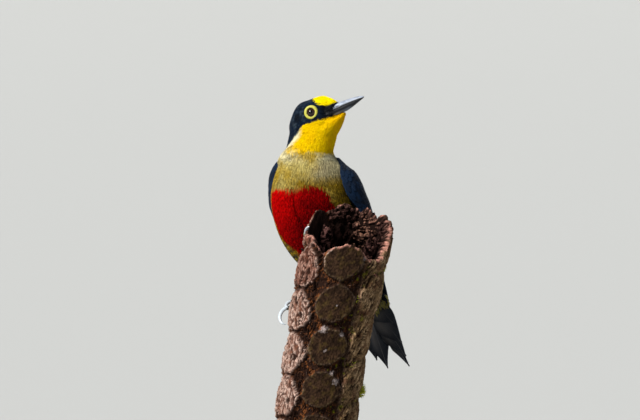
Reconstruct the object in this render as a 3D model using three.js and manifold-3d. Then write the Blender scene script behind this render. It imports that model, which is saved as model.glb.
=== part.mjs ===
// A life-size yellow-fronted woodpecker, a female, clinging to the back of a broken, leaning stem that is
// held by a plain display stand. Millimetres, +Z up. The origin is the middle of the stand's underside.
// A viewer stands at -Y: the bird's breast faces the viewer over the stem, and +X is the bird's left.
import * as THREE from "three";
import { mergeVertices } from "three/addons/utils/BufferGeometryUtils.js";
import Module from "manifold-3d";

const wasm = await Module();
wasm.setup();

const DEG = Math.PI / 180;
const GAP = 0.3; // clear space between two pieces that meet
const UP = new THREE.Vector3(0, 0, 1);
const vec = (x, y, z) => new THREE.Vector3(x, y, z);

// ---------------------------------------------------------------- driving sizes

const BASE = { length: 128, width: 104, height: 12, corner: 16, chamfer: 1.5 };
const ROD = { radius: 4, collarRadius: 13, collarHeight: 3 };
const STEM = {
  foot: vec(-8.6, -16, 38),
  lean: 6.8, // at the foot, in degrees
  bow: 0.00045, // how the lean grows with the height
  radius: 23.3,
  swell: 1.6, // how much thicker it is above its middle
  innerRadius: 18.5,
  floor: 92,
  scarPitch: 24.9, // from one leaf scar to the next below it
  topScar: 106.5, // height of the highest front scar's middle above the foot
  columns: 6,
  scarWidth: 11.6,
  scarHeight: 11,
  padRise: 1.3,
  grooveDrop: 1.3,
};
// The broken rim: turn round the stem from the viewer's side towards +X, and height above the foot.
const RIM = [
  [-180, 135],
  [-131, 133],
  [-95, 121],
  [-60, 120],
  [-32, 110],
  [-20, 114],
  [0, 116],
  [20, 113],
  [34, 107],
  [60, 106],
  [80, 120],
  [112, 123],
  [150, 131],
  [180, 135],
];

// Where the breast faces: degrees from the viewer's direction towards the bird's left.
const facing = (turn) => vec(Math.sin(turn * DEG), -Math.cos(turn * DEG), 0);

// The run of the body from inside the head to the ends of the tail coverts. Each station gives its middle,
// the half-width, the depths on the belly's side and on the back's side, and where the front faces.
const SPINE = [
  { at: vec(-7.0, 42, 225), wide: 10.5, belly: 11.5, back: 12.0, turn: 65 },
  { at: vec(-7.6, 42, 214.5), wide: 12.5, belly: 13.4, back: 14.9, turn: 62 },
  { at: vec(-10.3, 41.5, 204.7), wide: 13.3, belly: 14.3, back: 14.3, turn: 45 },
  { at: vec(-10.7, 40.5, 197.2), wide: 16.6, belly: 15.5, back: 15.0, turn: 5 },
  { at: vec(-10.4, 39, 188.6), wide: 22.0, belly: 18.8, back: 17.0, turn: -20 },
  { at: vec(-8.9, 38, 177), wide: 25.6, belly: 22.4, back: 19.5, turn: -28 },
  { at: vec(-6.0, 37, 162.6), wide: 25.2, belly: 21.6, back: 19.5, turn: -27 },
  { at: vec(1.2, 35.5, 148.2), wide: 22.8, belly: 18.6, back: 17.5, turn: -25 },
  { at: vec(7.8, 34, 134.9), wide: 17.5, belly: 14.5, back: 13.5, turn: -25 },
  { at: vec(16.0, 32, 123.5), wide: 11.4, belly: 9.2, back: 9.2, turn: -25 },
  { at: vec(22.8, 29, 113.6), wide: 7.6, belly: 4.8, back: 4.8, turn: -25 },
];

// The folded wing's outer face: the same kind of run, from the bend of the wing to its tip over the tail.
const WING_RUN = [
  { at: vec(-10.7, 40.5, 198.5), wide: 17.6, belly: 16.5, back: 17.0, turn: 4 },
  { at: vec(-10.4, 39, 188.6), wide: 26.5, belly: 22, back: 21.0, turn: -20 },
  { at: vec(-8.5, 38, 177), wide: 31.0, belly: 25, back: 23.6, turn: -28 },
  { at: vec(-5.0, 37, 162.6), wide: 32.8, belly: 25, back: 23.6, turn: -27 },
  { at: vec(1.6, 35.5, 148.2), wide: 30.8, belly: 22, back: 21.6, turn: -25 },
  { at: vec(8.6, 34, 134.9), wide: 26.0, belly: 17, back: 18.4, turn: -25 },
  { at: vec(16.8, 32, 123.5), wide: 19.8, belly: 12, back: 14.0, turn: -25 },
  { at: vec(24.2, 29.5, 111), wide: 15.2, belly: 8.4, back: 9.6, turn: -25 },
  { at: vec(31.4, 26, 98), wide: 10.4, belly: 5.6, back: 6.8, turn: -25 },
];
// Along that run, from 0 at the bend to 1 at the tip: the wing's lower and upper edges, in degrees round
// from the breast, its thickness, and how much nearer the body the right wing lies than the left.
const WING_EDGES = [
  { at: 0.0, lower: 84, upper: 108, thick: 3.4, tuck: 0 },
  { at: 0.08, lower: 73, upper: 140, thick: 6.0, tuck: 0 },
  { at: 0.24, lower: 74, upper: 158, thick: 7.5, tuck: 0.2 },
  { at: 0.4, lower: 85, upper: 166, thick: 7.5, tuck: 3.6 },
  { at: 0.55, lower: 94, upper: 169, thick: 6.5, tuck: 3.6 },
  { at: 0.7, lower: 103, upper: 171, thick: 4.0, tuck: 2.4 },
  { at: 0.85, lower: 112, upper: 171, thick: 2.0, tuck: 1.0 },
  { at: 1.0, lower: 146, upper: 168, thick: 0.8, tuck: 0 },
];

const HEAD = { at: vec(-7.25, 42, 220.4), turn: 65, pitch: 18.3 };
// Head sizes are in its own frame: +X to the bill's tip, +Y to the bird's left, +Z to the crown.
const SKULL = [
  { at: vec(-14.6, 0, 2.4), wide: 5.0, belly: 5.0, back: 4.6 },
  { at: vec(-11.6, 0, 1.0), wide: 9.0, belly: 8.0, back: 9.0 },
  { at: vec(-6.5, 0, 0.2), wide: 11.2, belly: 9.6, back: 12.4 },
  { at: vec(0, 0, 0.2), wide: 11.8, belly: 10.0, back: 12.6 },
  { at: vec(6, 0, 0.4), wide: 10.6, belly: 9.0, back: 12.6 },
  { at: vec(11.5, 0, 0.8), wide: 7.4, belly: 6.0, back: 11.6 },
  { at: vec(15.6, 0, 1.8), wide: 4.0, belly: 3.0, back: 8.2 },
  { at: vec(18.2, 0, 2.6), wide: 2.0, belly: 1.4, back: 2.8 },
];
const CHIN = [
  { at: vec(20.4, 0, -0.9), wide: 1.4, belly: 0.7, back: 0.7 },
  { at: vec(16.6, 0, -2.4), wide: 4.4, belly: 2.2, back: 2.4 },
  { at: vec(11.6, 0, -4.8), wide: 7.6, belly: 4.2, back: 4.6 },
  { at: vec(4.8, 0, -8.0), wide: 10.0, belly: 5.8, back: 6.6 },
  { at: vec(-4.0, 0, -11.0), wide: 10.4, belly: 5.0, back: 7.0 },
];
const BILL = { root: 8.5, tip: 34.2, tipHeight: 4.0, gapeHeight: 1.5 };
const EYE = { at: vec(2.4, 8.4, 5.3), radius: 3.0, ringInner: 2.5, ringOuter: 4.5, tilt: 12 };

// ---------------------------------------------------------------- solids from geometry

// A closed geometry as a manifold-3d solid with its faces pointing out.
function solid(geometry) {
  const bare = geometry.index ? geometry.toNonIndexed() : geometry.clone();
  bare.deleteAttribute("normal");
  bare.deleteAttribute("uv");
  const merged = mergeVertices(bare, 1e-4);
  const make = (triVerts) =>
    new wasm.Manifold(
      new wasm.Mesh({
        numProp: 3,
        vertProperties: new Float32Array(merged.attributes.position.array),
        triVerts,
      }),
    );
  const faces = new Uint32Array(merged.index.array);
  const made = make(faces);
  if (made.volume() >= 0) return made;
  for (let i = 0; i < faces.length; i += 3) {
    [faces[i], faces[i + 1]] = [faces[i + 1], faces[i]];
  }
  return make(faces);
}

// The largest body of a solid, without the slivers that a cut can leave.
function largest(whole) {
  return whole.decompose().reduce((a, b) => (a.volume() > b.volume() ? a : b));
}

const group = new THREE.Group();

const COLOURS = {
  yellow: [0xffd000, 0.85, 0],
  buff: [0xb8a860, 0.9, 0],
  red: [0xc81010, 0.8, 0],
  blueBlack: [0x0c1424, 0.5, 0],
  black: [0x15151a, 0.55, 0],
  horn: [0x50545e, 0.35, 0],
  eye: [0x120c0a, 0.08, 0],
  eyeSkin: [0xdcd860, 0.6, 0],
  toe: [0x8f9468, 0.6, 0],
  claw: [0xb4bac8, 0.3, 0],
  bark: [0x6b4a3a, 0.9, 0],
  plinth: [0x2e2119, 0.4, 0],
  steel: [0x8c8c90, 0.3, 1],
};

// Adds a solid to the group as a mesh with the named colour.
function add(name, made, colour) {
  const mesh = made.getMesh();
  const positions = new Float32Array(mesh.numVert * 3);
  for (let i = 0; i < mesh.numVert; i++) {
    positions.set(mesh.vertProperties.subarray(i * mesh.numProp, i * mesh.numProp + 3), i * 3);
  }
  const geometry = new THREE.BufferGeometry()
    .setAttribute("position", new THREE.BufferAttribute(positions, 3))
    .setIndex(new THREE.BufferAttribute(mesh.triVerts, 1));
  geometry.computeVertexNormals();
  const [color, roughness, metalness] = COLOURS[colour];
  const node = new THREE.Mesh(
    geometry,
    new THREE.MeshStandardMaterial({ color, roughness, metalness }),
  );
  node.name = name;
  group.add(node);
}

// A smooth run of some of the stations' sizes, read at t from 0 to 1.
function run(stations, pick) {
  const curve = new THREE.CatmullRomCurve3(stations.map(pick), false, "catmullrom", 0.5);
  return (t) => curve.getPoint(t);
}

// Reads the middle, sizes and axes of a run of stations at t. grow makes every size larger.
function sections(stations, grow = 0) {
  const middles = run(stations, (s) => s.at);
  const sizes = run(stations, (s) => vec(s.wide, s.belly, s.back));
  const fronts = run(stations, (s) => (s.turn === undefined ? vec(0, 0, -1) : facing(s.turn)));
  return (t) => {
    const tangent = middles(Math.min(1, t + 0.004)).sub(middles(Math.max(0, t - 0.004)));
    tangent.normalize();
    const front = fronts(t);
    front.addScaledVector(tangent, -front.dot(tangent)).normalize();
    const size = sizes(t);
    return {
      middle: middles(t),
      front,
      side: vec(0, 0, 0).crossVectors(front, tangent).normalize(),
      wide: size.x + grow,
      belly: size.y + grow,
      back: size.z + grow,
      tangent,
    };
  };
}

// The point on a section's outline, at an angle round from the front towards the bird's left, moved
// outwards by out. share shrinks the section towards its middle.
function onSection(s, angle, out = 0, share = 1) {
  const across = Math.sin(angle) * (s.wide + out) * share;
  const ahead = Math.cos(angle) * ((Math.cos(angle) > 0 ? s.belly : s.back) + out) * share;
  return s.middle.clone().addScaledVector(s.side, across).addScaledVector(s.front, ahead);
}

// A closed tube with rounded ends round a run of stations. round is the share of its length that each end
// takes to close.
function loft(stations, { around = 20, along = 16, round = [0.12, 0.12], grow = 0 } = {}) {
  const at = sections(stations, grow);
  const geometry = new THREE.SphereGeometry(1, around, along);
  const position = geometry.attributes.position;
  for (let i = 0; i < position.count; i++) {
    const polar = Math.acos(THREE.MathUtils.clamp(position.getY(i), -1, 1));
    const t = (polar / Math.PI) * 0.55 + (0.45 * (1 - Math.cos(polar))) / 2;
    const angle = Math.atan2(position.getZ(i), position.getX(i));
    const fromEnd = Math.min(1, t / round[0], (1 - t) / round[1]);
    const share = Math.sqrt(Math.max(0, 1 - (1 - fromEnd) ** 2));
    const point = onSection(at(t), angle, 0, share);
    position.setXYZ(i, point.x, point.y, point.z);
  }
  return solid(geometry);
}

// A round, tapering rod through some points. radii run from its start to its end.
function rod(points, radii, { around = 8, along = 7, grow = 0 } = {}) {
  const direction = points[points.length - 1].clone().sub(points[0]).normalize();
  const turn = Math.abs(direction.z) > 0.8 ? 0 : undefined;
  const stations = points.map((at, i) => {
    return { at, wide: radii[i], belly: radii[i], back: radii[i], turn };
  });
  return loft(stations, { around, along, round: [0.1, 0.1], grow });
}

// ---------------------------------------------------------------- the stem and its stand

// Height of the broken rim above the foot at a turn round the stem.
function rimHeight(turn) {
  const i = RIM.findIndex(([t]) => t >= turn);
  if (i <= 0) return RIM[0][1];
  const [t0, h0] = RIM[i - 1];
  const [t1, h1] = RIM[i];
  return THREE.MathUtils.mapLinear(turn, t0, t1, h0, h1);
}

// How far the bark stands out at a turn and height: each leaf scar is a round pad with a groove round it.
function scarRise(turn, height) {
  const step = 360 / STEM.columns;
  const column = Math.round(-turn / step);
  const top = STEM.topScar - (column * STEM.scarPitch) / STEM.columns;
  const row = Math.round((top - height) / STEM.scarPitch);
  const across = (turn + column * step) * DEG * STEM.radius;
  const upward = height - (top - row * STEM.scarPitch);
  const far = Math.hypot(across / STEM.scarWidth, upward / STEM.scarHeight);
  return THREE.MathUtils.lerp(
    STEM.padRise,
    -STEM.grooveDrop,
    THREE.MathUtils.smoothstep(far, 0.8, 1.15),
  );
}

// A point near the stem's bark: turn from the viewer's side towards +X, height above the foot, distance
// outside the bark's mean radius.
function stemPoint(turn, height, out = 0) {
  const reach = STEM.radius + STEM.swell * THREE.MathUtils.smoothstep(height, 60, 84) + out;
  const across = height * Math.tan(STEM.lean * DEG) + STEM.bow * height ** 2;
  return vec(
    STEM.foot.x + across + reach * Math.sin(turn * DEG),
    STEM.foot.y - reach * Math.cos(turn * DEG),
    STEM.foot.z + height,
  );
}

function stem() {
  const around = 36;
  const rows = 20;
  const wall = Array.from({ length: rows + 1 }, (_, i) => new THREE.Vector2(STEM.radius, i / rows));
  const profile = [
    new THREE.Vector2(0, 0),
    ...wall,
    new THREE.Vector2(STEM.innerRadius + 1, 1),
    new THREE.Vector2(STEM.innerRadius, 0.95),
    new THREE.Vector2(STEM.innerRadius - 2, 0.9),
    new THREE.Vector2(STEM.innerRadius / 2, 0.9),
    new THREE.Vector2(0, 0.9),
  ];
  const geometry = new THREE.LatheGeometry(profile, around);
  const position = geometry.attributes.position;
  for (let i = 0; i < position.count; i++) {
    const radius = Math.hypot(position.getX(i), position.getZ(i));
    const share = position.getY(i);
    // The seam's two edges, at turns of -180 and 180, have to meet exactly.
    const raw = Math.atan2(position.getX(i), -position.getZ(i)) / DEG;
    const turn = radius < 1e-6 || Math.abs(Math.abs(raw) - 180) < 1e-6 ? 180 : raw;
    const rim = rimHeight(turn);
    const point = vec(0, 0, 0);
    if (radius > STEM.radius - 0.01) {
      const height = share * rim;
      const rise = share > 0.99 ? 0 : scarRise(turn, height);
      point.copy(stemPoint(turn, height, rise));
    } else if (share === 0) {
      point.copy(STEM.foot);
    } else {
      const rough = 1.6 * Math.sin(turn * 5 * DEG + radius) + 1.4 * Math.cos(turn * 3 * DEG);
      const deep = radius < 1e-6 ? STEM.floor : STEM.floor + rough * (radius / STEM.innerRadius);
      const height = share > 0.93 ? THREE.MathUtils.mapLinear(share, 0.95, 1, rim - 4, rim) : deep;
      point.copy(stemPoint(turn, height, radius - STEM.radius));
    }
    position.setXYZ(i, point.x, point.y, point.z);
  }
  return solid(geometry);
}

// A rounded plate with chamfered edges, lying on the floor.
function standBase() {
  const halfX = BASE.length / 2 - BASE.chamfer;
  const halfY = BASE.width / 2 - BASE.chamfer;
  const r = BASE.corner;
  const shape = new THREE.Shape();
  shape.moveTo(halfX, -halfY + r);
  shape.absarc(halfX - r, halfY - r, r, 0, 90 * DEG);
  shape.absarc(-halfX + r, halfY - r, r, 90 * DEG, 180 * DEG);
  shape.absarc(-halfX + r, -halfY + r, r, 180 * DEG, 270 * DEG);
  shape.absarc(halfX - r, -halfY + r, r, 270 * DEG, 360 * DEG);
  const plate = new THREE.ExtrudeGeometry(shape, {
    depth: BASE.height - 2 * BASE.chamfer,
    bevelThickness: BASE.chamfer,
    bevelSize: BASE.chamfer,
    bevelSegments: 1,
    curveSegments: 4,
  });
  return solid(plate.translate(0, 0, BASE.chamfer));
}

// An upright cylinder from one height to another over a spot on the floor.
function upright(x, y, low, high, radius) {
  const geometry = new THREE.CylinderGeometry(radius, radius, high - low, 24);
  geometry.rotateX(90 * DEG).translate(x, y, (low + high) / 2);
  return solid(geometry);
}

// ---------------------------------------------------------------- the bird's body

// A big block on one side of a plane through a point, for a thin cut.
function halfSpace(point, direction, gap) {
  const size = 400;
  const block = new THREE.BoxGeometry(size, size, size).translate(0, 0, size / 2 + gap / 2);
  const turn = new THREE.Quaternion().setFromUnitVectors(UP, direction.clone().normalize());
  block.applyQuaternion(turn).translate(point.x, point.y, point.z);
  return solid(block);
}

// The pose of the head: a matrix from the head's own frame to the part's.
function headPose() {
  const level = facing(HEAD.turn);
  const ahead = level.clone().multiplyScalar(Math.cos(HEAD.pitch * DEG));
  ahead.z = Math.sin(HEAD.pitch * DEG);
  const left = vec(0, 0, 0).crossVectors(UP, level);
  const crown = vec(0, 0, 0).crossVectors(ahead, left);
  return new THREE.Matrix4().makeBasis(ahead, left, crown).setPosition(HEAD.at);
}
const POSE = headPose();

// A run of stations given in the head's own frame, set in the part's frame by posing the finished solid.
function posed(made) {
  return made.transform(POSE.elements);
}

// One half of the bill: sign 1 is the upper half and -1 the lower.
function mandible(sign, grow = 0) {
  const root = BILL.root - grow;
  const length = BILL.tip + grow - root;
  const stations = [0, 0.3, 0.55, 0.78, 0.93, 1].map((share) => {
    const upper = sign > 0;
    const edge = THREE.MathUtils.lerp(BILL.gapeHeight, BILL.tipHeight, share);
    const deep = (upper ? 3.6 : 3.3) * (1 - share ** (upper ? 1.9 : 1.3)) + 0.45;
    const wide = 4.3 * (1 - share ** 1.15) + 0.75;
    return {
      at: vec(root + length * share - (upper ? 0 : 0.9 * share), 0, edge + (sign * GAP) / 2),
      wide,
      belly: upper ? 0.02 : deep,
      back: upper ? deep : 0.02,
    };
  });
  return loft(stations, { around: 12, along: 8, round: [0.05, 0.03], grow });
}

// Places a geometry that points along +Z on the side of the head, looking out from the eye's middle.
function onEye(geometry, side) {
  const out = vec(Math.sin(EYE.tilt * DEG), side * Math.cos(EYE.tilt * DEG), 0.1).normalize();
  const turn = new THREE.Quaternion().setFromUnitVectors(UP, out);
  return geometry.applyQuaternion(turn).translate(EYE.at.x, side * EYE.at.y, EYE.at.z);
}

function eyeball(side, grow = 0) {
  return solid(onEye(new THREE.SphereGeometry(EYE.radius + grow, 10, 6), side));
}

// The bare ring of skin round the eye: a rounded washer.
function eyeRing(side, grow = 0) {
  const inner = EYE.ringInner - grow;
  const outer = EYE.ringOuter + grow;
  const profile = [
    new THREE.Vector2(inner, 1.5),
    new THREE.Vector2(outer, -0.4 - grow),
    new THREE.Vector2(outer, 0.9 + grow),
    new THREE.Vector2((inner + outer) / 2, 2.5 + grow),
    new THREE.Vector2(inner, 2.4 + grow),
    new THREE.Vector2(inner, 1.5),
  ];
  const washer = new THREE.LatheGeometry(profile, 12).rotateX(90 * DEG);
  return solid(onEye(washer, side));
}

// ---------------------------------------------------------------- wings and tail

// Reads one of the wing's edge sizes at t along its run.
function wingEdge(t, key) {
  const i = Math.max(1, WING_EDGES.findIndex((e) => e.at >= t));
  const [a, b] = [WING_EDGES[i - 1], WING_EDGES[i]];
  return THREE.MathUtils.lerp(a[key], b[key], THREE.MathUtils.smoothstep(t, a.at, b.at));
}

// A folded wing: a block laid on the wing's outer face, side 1 on the bird's left and -1 on its right.
function wing(side) {
  const at = sections(WING_RUN);
  const geometry = new THREE.BoxGeometry(1, 1, 1, 15, 5, 1);
  const position = geometry.attributes.position;
  for (let i = 0; i < position.count; i++) {
    const t = position.getX(i) + 0.5;
    const across = position.getY(i) + 0.5;
    const inside = position.getZ(i) < 0;
    const angle = THREE.MathUtils.lerp(wingEdge(t, "lower"), wingEdge(t, "upper"), across);
    const thick = wingEdge(t, "thick");
    const tuck = side < 0 ? wingEdge(t, "tuck") : 0;
    const lowDrop = Math.max(0, 1 - across / 0.35) ** 2 * Math.min(3.8, thick * 0.6);
    const highDrop = Math.max(0, (across - 0.7) / 0.3) ** 2 * Math.min(1.8, thick * 0.6);
    const depth = inside ? thick : lowDrop + highDrop;
    const point = onSection(at(t), side * angle * DEG, -tuck - depth);
    position.setXYZ(i, point.x, point.y, point.z);
  }
  return solid(geometry);
}

const TAIL = { length: 58, root: vec(17.8, 32.5, 127.5), width: 5.6, thick: 0.7 };
// The tail's axis and the way its underside faces.
const TAIL_AXIS = vec(23.2, -13.5, -49.6).normalize();
const TAIL_FRONT = facing(-26);

// Each pair of tail feathers, from the middle pair out: its spread from the axis and share of the length.
const TAIL_PAIRS = [
  { spread: 5.8, share: 1.0, fold: 1.0 },
  { spread: 11, share: 0.84, fold: 2.4 },
  { spread: 16.5, share: 0.66, fold: 4.4 },
  { spread: 22, share: 0.52, fold: 6.8 },
];

// A stiff, pointed tail feather: side 1 on the bird's left. Each pair lies under the one before it, and
// the sides of the tail slope forwards like a roof.
function tailFeather(pair, side) {
  const front = TAIL_FRONT.clone().addScaledVector(TAIL_AXIS, -TAIL_FRONT.dot(TAIL_AXIS)).normalize();
  const left = vec(0, 0, 0).crossVectors(TAIL_AXIS, front).normalize();
  const { spread, share, fold } = TAIL_PAIRS[pair];
  const along = TAIL_AXIS.clone().multiplyScalar(Math.cos(spread * DEG));
  along.addScaledVector(left, side * Math.sin(spread * DEG));
  const stations = [0, 0.25, 0.55, 0.8, 0.93, 1].map((part) => {
    const reach = TAIL.length * share * part;
    const at = TAIL.root.clone().addScaledVector(along, reach);
    at.addScaledVector(front, fold * part + 2.2 * part * (1 - part));
    const taper = part > 0.6 ? Math.max(0.1, 1 - ((part - 0.6) / 0.4) ** 1.5) : 0.64 + 0.6 * part;
    return { at, wide: TAIL.width * taper, belly: TAIL.thick, back: TAIL.thick, turn: -26 + side * 24 };
  });
  return loft(stations, { around: 8, along: 6, round: [0.02, 0.02] });
}

// ---------------------------------------------------------------- legs

// Each leg: where the feathered thigh leaves the body, its heel, and the spot on the bark where its toes
// join, as a turn round the stem and a height.
const LEGS = {
  right: { hip: vec(1, 31, 136), knee: vec(-2.5, 22, 121), heel: vec(-3.5, 14, 106), grip: [-134, 77] },
  left: { hip: vec(8, 29, 139), knee: vec(6, 20, 133), heel: vec(1.5, 14.6, 129), grip: [-142, 109] },
};
// Toes of each foot: where each ends on the bark, and the turn and height of its claw's tip. arch is how
// far the claw's back stands out and bite how near its tip comes to the bark, where they aren't the usual.
const TOES = {
  right: {
    outer: { end: [-110, 76], tip: [-98, 67.7], arch: 4.0 },
    front: { end: [-118, 79], tip: [-102, 76.6], arch: 1.0 },
    inner: { end: [-146, 90], tip: [-149, 96] },
    hind: { end: [-152, 67], tip: [-158, 62] },
  },
  left: {
    outer: { end: [-178, 112], tip: [168, 108] },
    front: { end: [-150, 126], tip: [-151, 132] },
    inner: { end: [-115, 120], tip: [-91, 124.5], arch: 0.8, bite: -2.4 },
    hind: { end: [-150, 98], tip: [-148, 92] },
  },
};
const TOE_RADIUS = 1.35;
const BARK_CLEAR = STEM.padRise + GAP; // the nearest that a foot comes to the bark's mean radius

// The feathered thigh, from inside the belly to just above the heel.
function thigh(leg, grow = 0) {
  const { hip, knee, heel } = LEGS[leg];
  const cuff = knee.clone().lerp(heel, 0.55);
  const stations = [
    { at: hip, wide: 7.5, belly: 7, back: 7, turn: 0 },
    { at: knee, wide: 6.2, belly: 5.2, back: 6.4, turn: 0 },
    { at: cuff, wide: 2.6, belly: 2.3, back: 2.8, turn: 0 },
  ];
  return loft(stations, { around: 10, along: 7, grow });
}

// The bare shank: down from the cuff to the heel, and up along the bark to where the toes join.
function shank(leg, grow = 0) {
  const { knee, heel, grip } = LEGS[leg];
  const cuff = knee.clone().lerp(heel, 0.45);
  const pad = stemPoint(grip[0], grip[1], BARK_CLEAR + 1.7);
  const bend = heel.clone().lerp(pad, 0.12);
  const upper = rod([cuff, heel.clone().lerp(cuff, 0.3), heel], [1.5, 1.5, 1.9], { grow });
  const lower = rod([heel, bend, heel.clone().lerp(pad, 0.6), pad], [1.9, 1.6, 1.4, 1.7], { grow });
  return upper.add(lower);
}

// A toe along the bark, from the pad to the root of its claw.
function toe(leg, name, grow = 0) {
  const { grip } = LEGS[leg];
  const { end } = TOES[leg][name];
  const points = [0.02, 0.35, 0.6, 0.82, 1].map((share) => {
    const turn = THREE.MathUtils.lerp(grip[0], nearTurn(end[0], grip[0]), share);
    const height = THREE.MathUtils.lerp(grip[1], end[1], share);
    return stemPoint(turn, height, BARK_CLEAR + TOE_RADIUS + 0.25 * Math.sin(share * 3 * Math.PI));
  });
  return rod(points, [1.5, 1.35, 1.3, 1.25, 1.1], { around: 6, along: 6, grow });
}

// The same turn, counted the short way round from another turn.
function nearTurn(turn, from) {
  return turn - 360 * Math.round((turn - from) / 360);
}

// A hooked claw: out from the toe's end and round to a tip that digs in at the bark.
function claw(leg, name, grow = 0) {
  const { end, tip } = TOES[leg][name];
  const tipTurn = nearTurn(tip[0], end[0]);
  const { arch, bite } = { arch: 1.4, bite: 0.4, ...TOES[leg][name] };
  const points = [-0.06, 0.3, 0.62, 1].map((share) => {
    const turn = THREE.MathUtils.lerp(end[0], tipTurn, share);
    const height = THREE.MathUtils.lerp(end[1], tip[1], share);
    const root = THREE.MathUtils.lerp(TOE_RADIUS, bite, share ** 2);
    const hook = arch * Math.sin(Math.PI * Math.max(0, share) ** 0.8);
    return stemPoint(turn, height, BARK_CLEAR + root + hook);
  });
  return rod(points, [1.15, 1.0, 0.75, 0.32], { around: 5, along: 6, grow });
}

// ---------------------------------------------------------------- the whole model

const stemSolid = stem();
add("perch_stem", stemSolid, "bark");
const footSpot = [STEM.foot.x, STEM.foot.y];
add("stand_base", standBase(), "plinth");
const collarLow = STEM.foot.z - GAP - ROD.collarHeight;
add("stand_collar", upright(...footSpot, collarLow, STEM.foot.z - GAP, ROD.collarRadius), "steel");
add("stand_rod", upright(...footSpot, BASE.height + GAP, collarLow - GAP, ROD.radius), "steel");

const body = loft(SPINE, { around: 20, along: 22, round: [0.08, 0.06] });
const skull = posed(loft(SKULL, { around: 16, along: 11, round: [0.07, 0.05] }));
const chin = posed(loft(CHIN, { around: 12, along: 6, round: [0.04, 0.1] }));
const flesh = body.add(skull).add(chin);

for (const [half, sign] of [["upper", 1], ["lower", -1]]) {
  add("bill_" + half, posed(mandible(sign)), "horn");
}
const bulk = [];
for (const sign of [1, -1]) bulk.push(posed(mandible(sign, GAP)));
for (const [name, side] of [["left", 1], ["right", -1]]) {
  const ring = posed(eyeRing(side)).subtract(posed(eyeball(side, GAP)));
  add("eye_" + name, posed(eyeball(side)), "eye");
  add("eye_ring_" + name, largest(ring), "eyeSkin");
  bulk.push(posed(eyeRing(side, GAP)), posed(eyeball(side, GAP)));
}
const socketed = bulk.reduce((whole, piece) => whole.subtract(piece), flesh);

// Thin cuts part the head from the neck and the neck from the trunk.
const headCut = { point: vec(-6, 26, 208.5), direction: vec(-0.42, 0.1, 1) };
const neckCut = { point: vec(-11, 24.5, 196.5), direction: vec(-0.05, 0.02, 1) };
const above = (cut) => halfSpace(cut.point, cut.direction, GAP);
const below = (cut) => halfSpace(cut.point, cut.direction.clone().negate(), GAP);
add("head", largest(socketed.intersect(above(headCut))), "yellow");
add("neck", largest(socketed.intersect(below(headCut)).intersect(above(neckCut))), "yellow");
add("trunk", largest(socketed.intersect(below(neckCut))), "red");

const bodySpace = loft(SPINE, { around: 20, along: 22, round: [0.08, 0.06], grow: GAP });
const tail = TAIL_PAIRS.flatMap((_, pair) => [tailFeather(pair, 1), tailFeather(pair, -1)])
  .reduce((whole, feather) => whole.add(feather));
add("tail", largest(tail.subtract(bodySpace)), "black");
for (const [name, side] of [["left", 1], ["right", -1]]) {
  add("wing_" + name, largest(wing(side).subtract(bodySpace)), "blueBlack");
}

// Each piece of a leg gives way, with a gap, to those made before it.
const taken = [bodySpace];
function addLegPiece(name, make, colour) {
  const made = taken.reduce((whole, other) => whole.subtract(other), make(0));
  add(name, largest(made), colour);
  taken.push(make(GAP));
}
for (const leg of ["right", "left"]) {
  addLegPiece("thigh_" + leg, (grow) => thigh(leg, grow), "buff");
  addLegPiece("shank_" + leg, (grow) => shank(leg, grow), "toe");
  for (const name of Object.keys(TOES[leg])) {
    addLegPiece(`toe_${leg}_${name}`, (grow) => toe(leg, name, grow), "toe");
    addLegPiece(`claw_${leg}_${name}`, (grow) => claw(leg, name, grow), "claw");
  }
}

export default group;
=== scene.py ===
"""A life-size yellow-fronted woodpecker, a female, clinging to a broken stem on a plain display stand.

Laid out as a Blender add-on. Each operator makes one group of pieces round the fixed frame.
"""

import math
from types import SimpleNamespace

import bpy
import numpy as np
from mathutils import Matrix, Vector
from mathutils.bvhtree import BVHTree
from mathutils.kdtree import KDTree


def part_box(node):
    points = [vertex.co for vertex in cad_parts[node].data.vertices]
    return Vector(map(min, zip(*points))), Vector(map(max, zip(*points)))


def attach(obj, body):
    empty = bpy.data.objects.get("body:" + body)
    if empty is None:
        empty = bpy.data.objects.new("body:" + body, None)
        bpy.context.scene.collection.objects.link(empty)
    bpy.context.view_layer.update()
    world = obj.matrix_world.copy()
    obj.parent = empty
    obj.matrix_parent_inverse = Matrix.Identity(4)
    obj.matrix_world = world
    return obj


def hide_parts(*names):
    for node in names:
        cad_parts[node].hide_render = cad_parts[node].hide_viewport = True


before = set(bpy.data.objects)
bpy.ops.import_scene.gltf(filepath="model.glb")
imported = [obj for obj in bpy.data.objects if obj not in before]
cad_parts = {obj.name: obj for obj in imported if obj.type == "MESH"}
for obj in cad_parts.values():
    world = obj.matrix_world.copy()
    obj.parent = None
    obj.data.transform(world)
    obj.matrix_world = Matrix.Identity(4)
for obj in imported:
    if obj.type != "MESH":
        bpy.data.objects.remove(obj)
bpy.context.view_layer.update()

bl_info = {
    "name": "Woodpecker Model",
    "version": (1, 0, 0),
    "blender": (4, 5, 0),
    "location": "3D View > Sidebar > Woodpecker",
    "description": "Builds a life-size woodpecker on its stem perch and display stand",
    "category": "Add Mesh",
}

MM = 0.001

# ---- the solids' driving sizes, in millimetres

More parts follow.
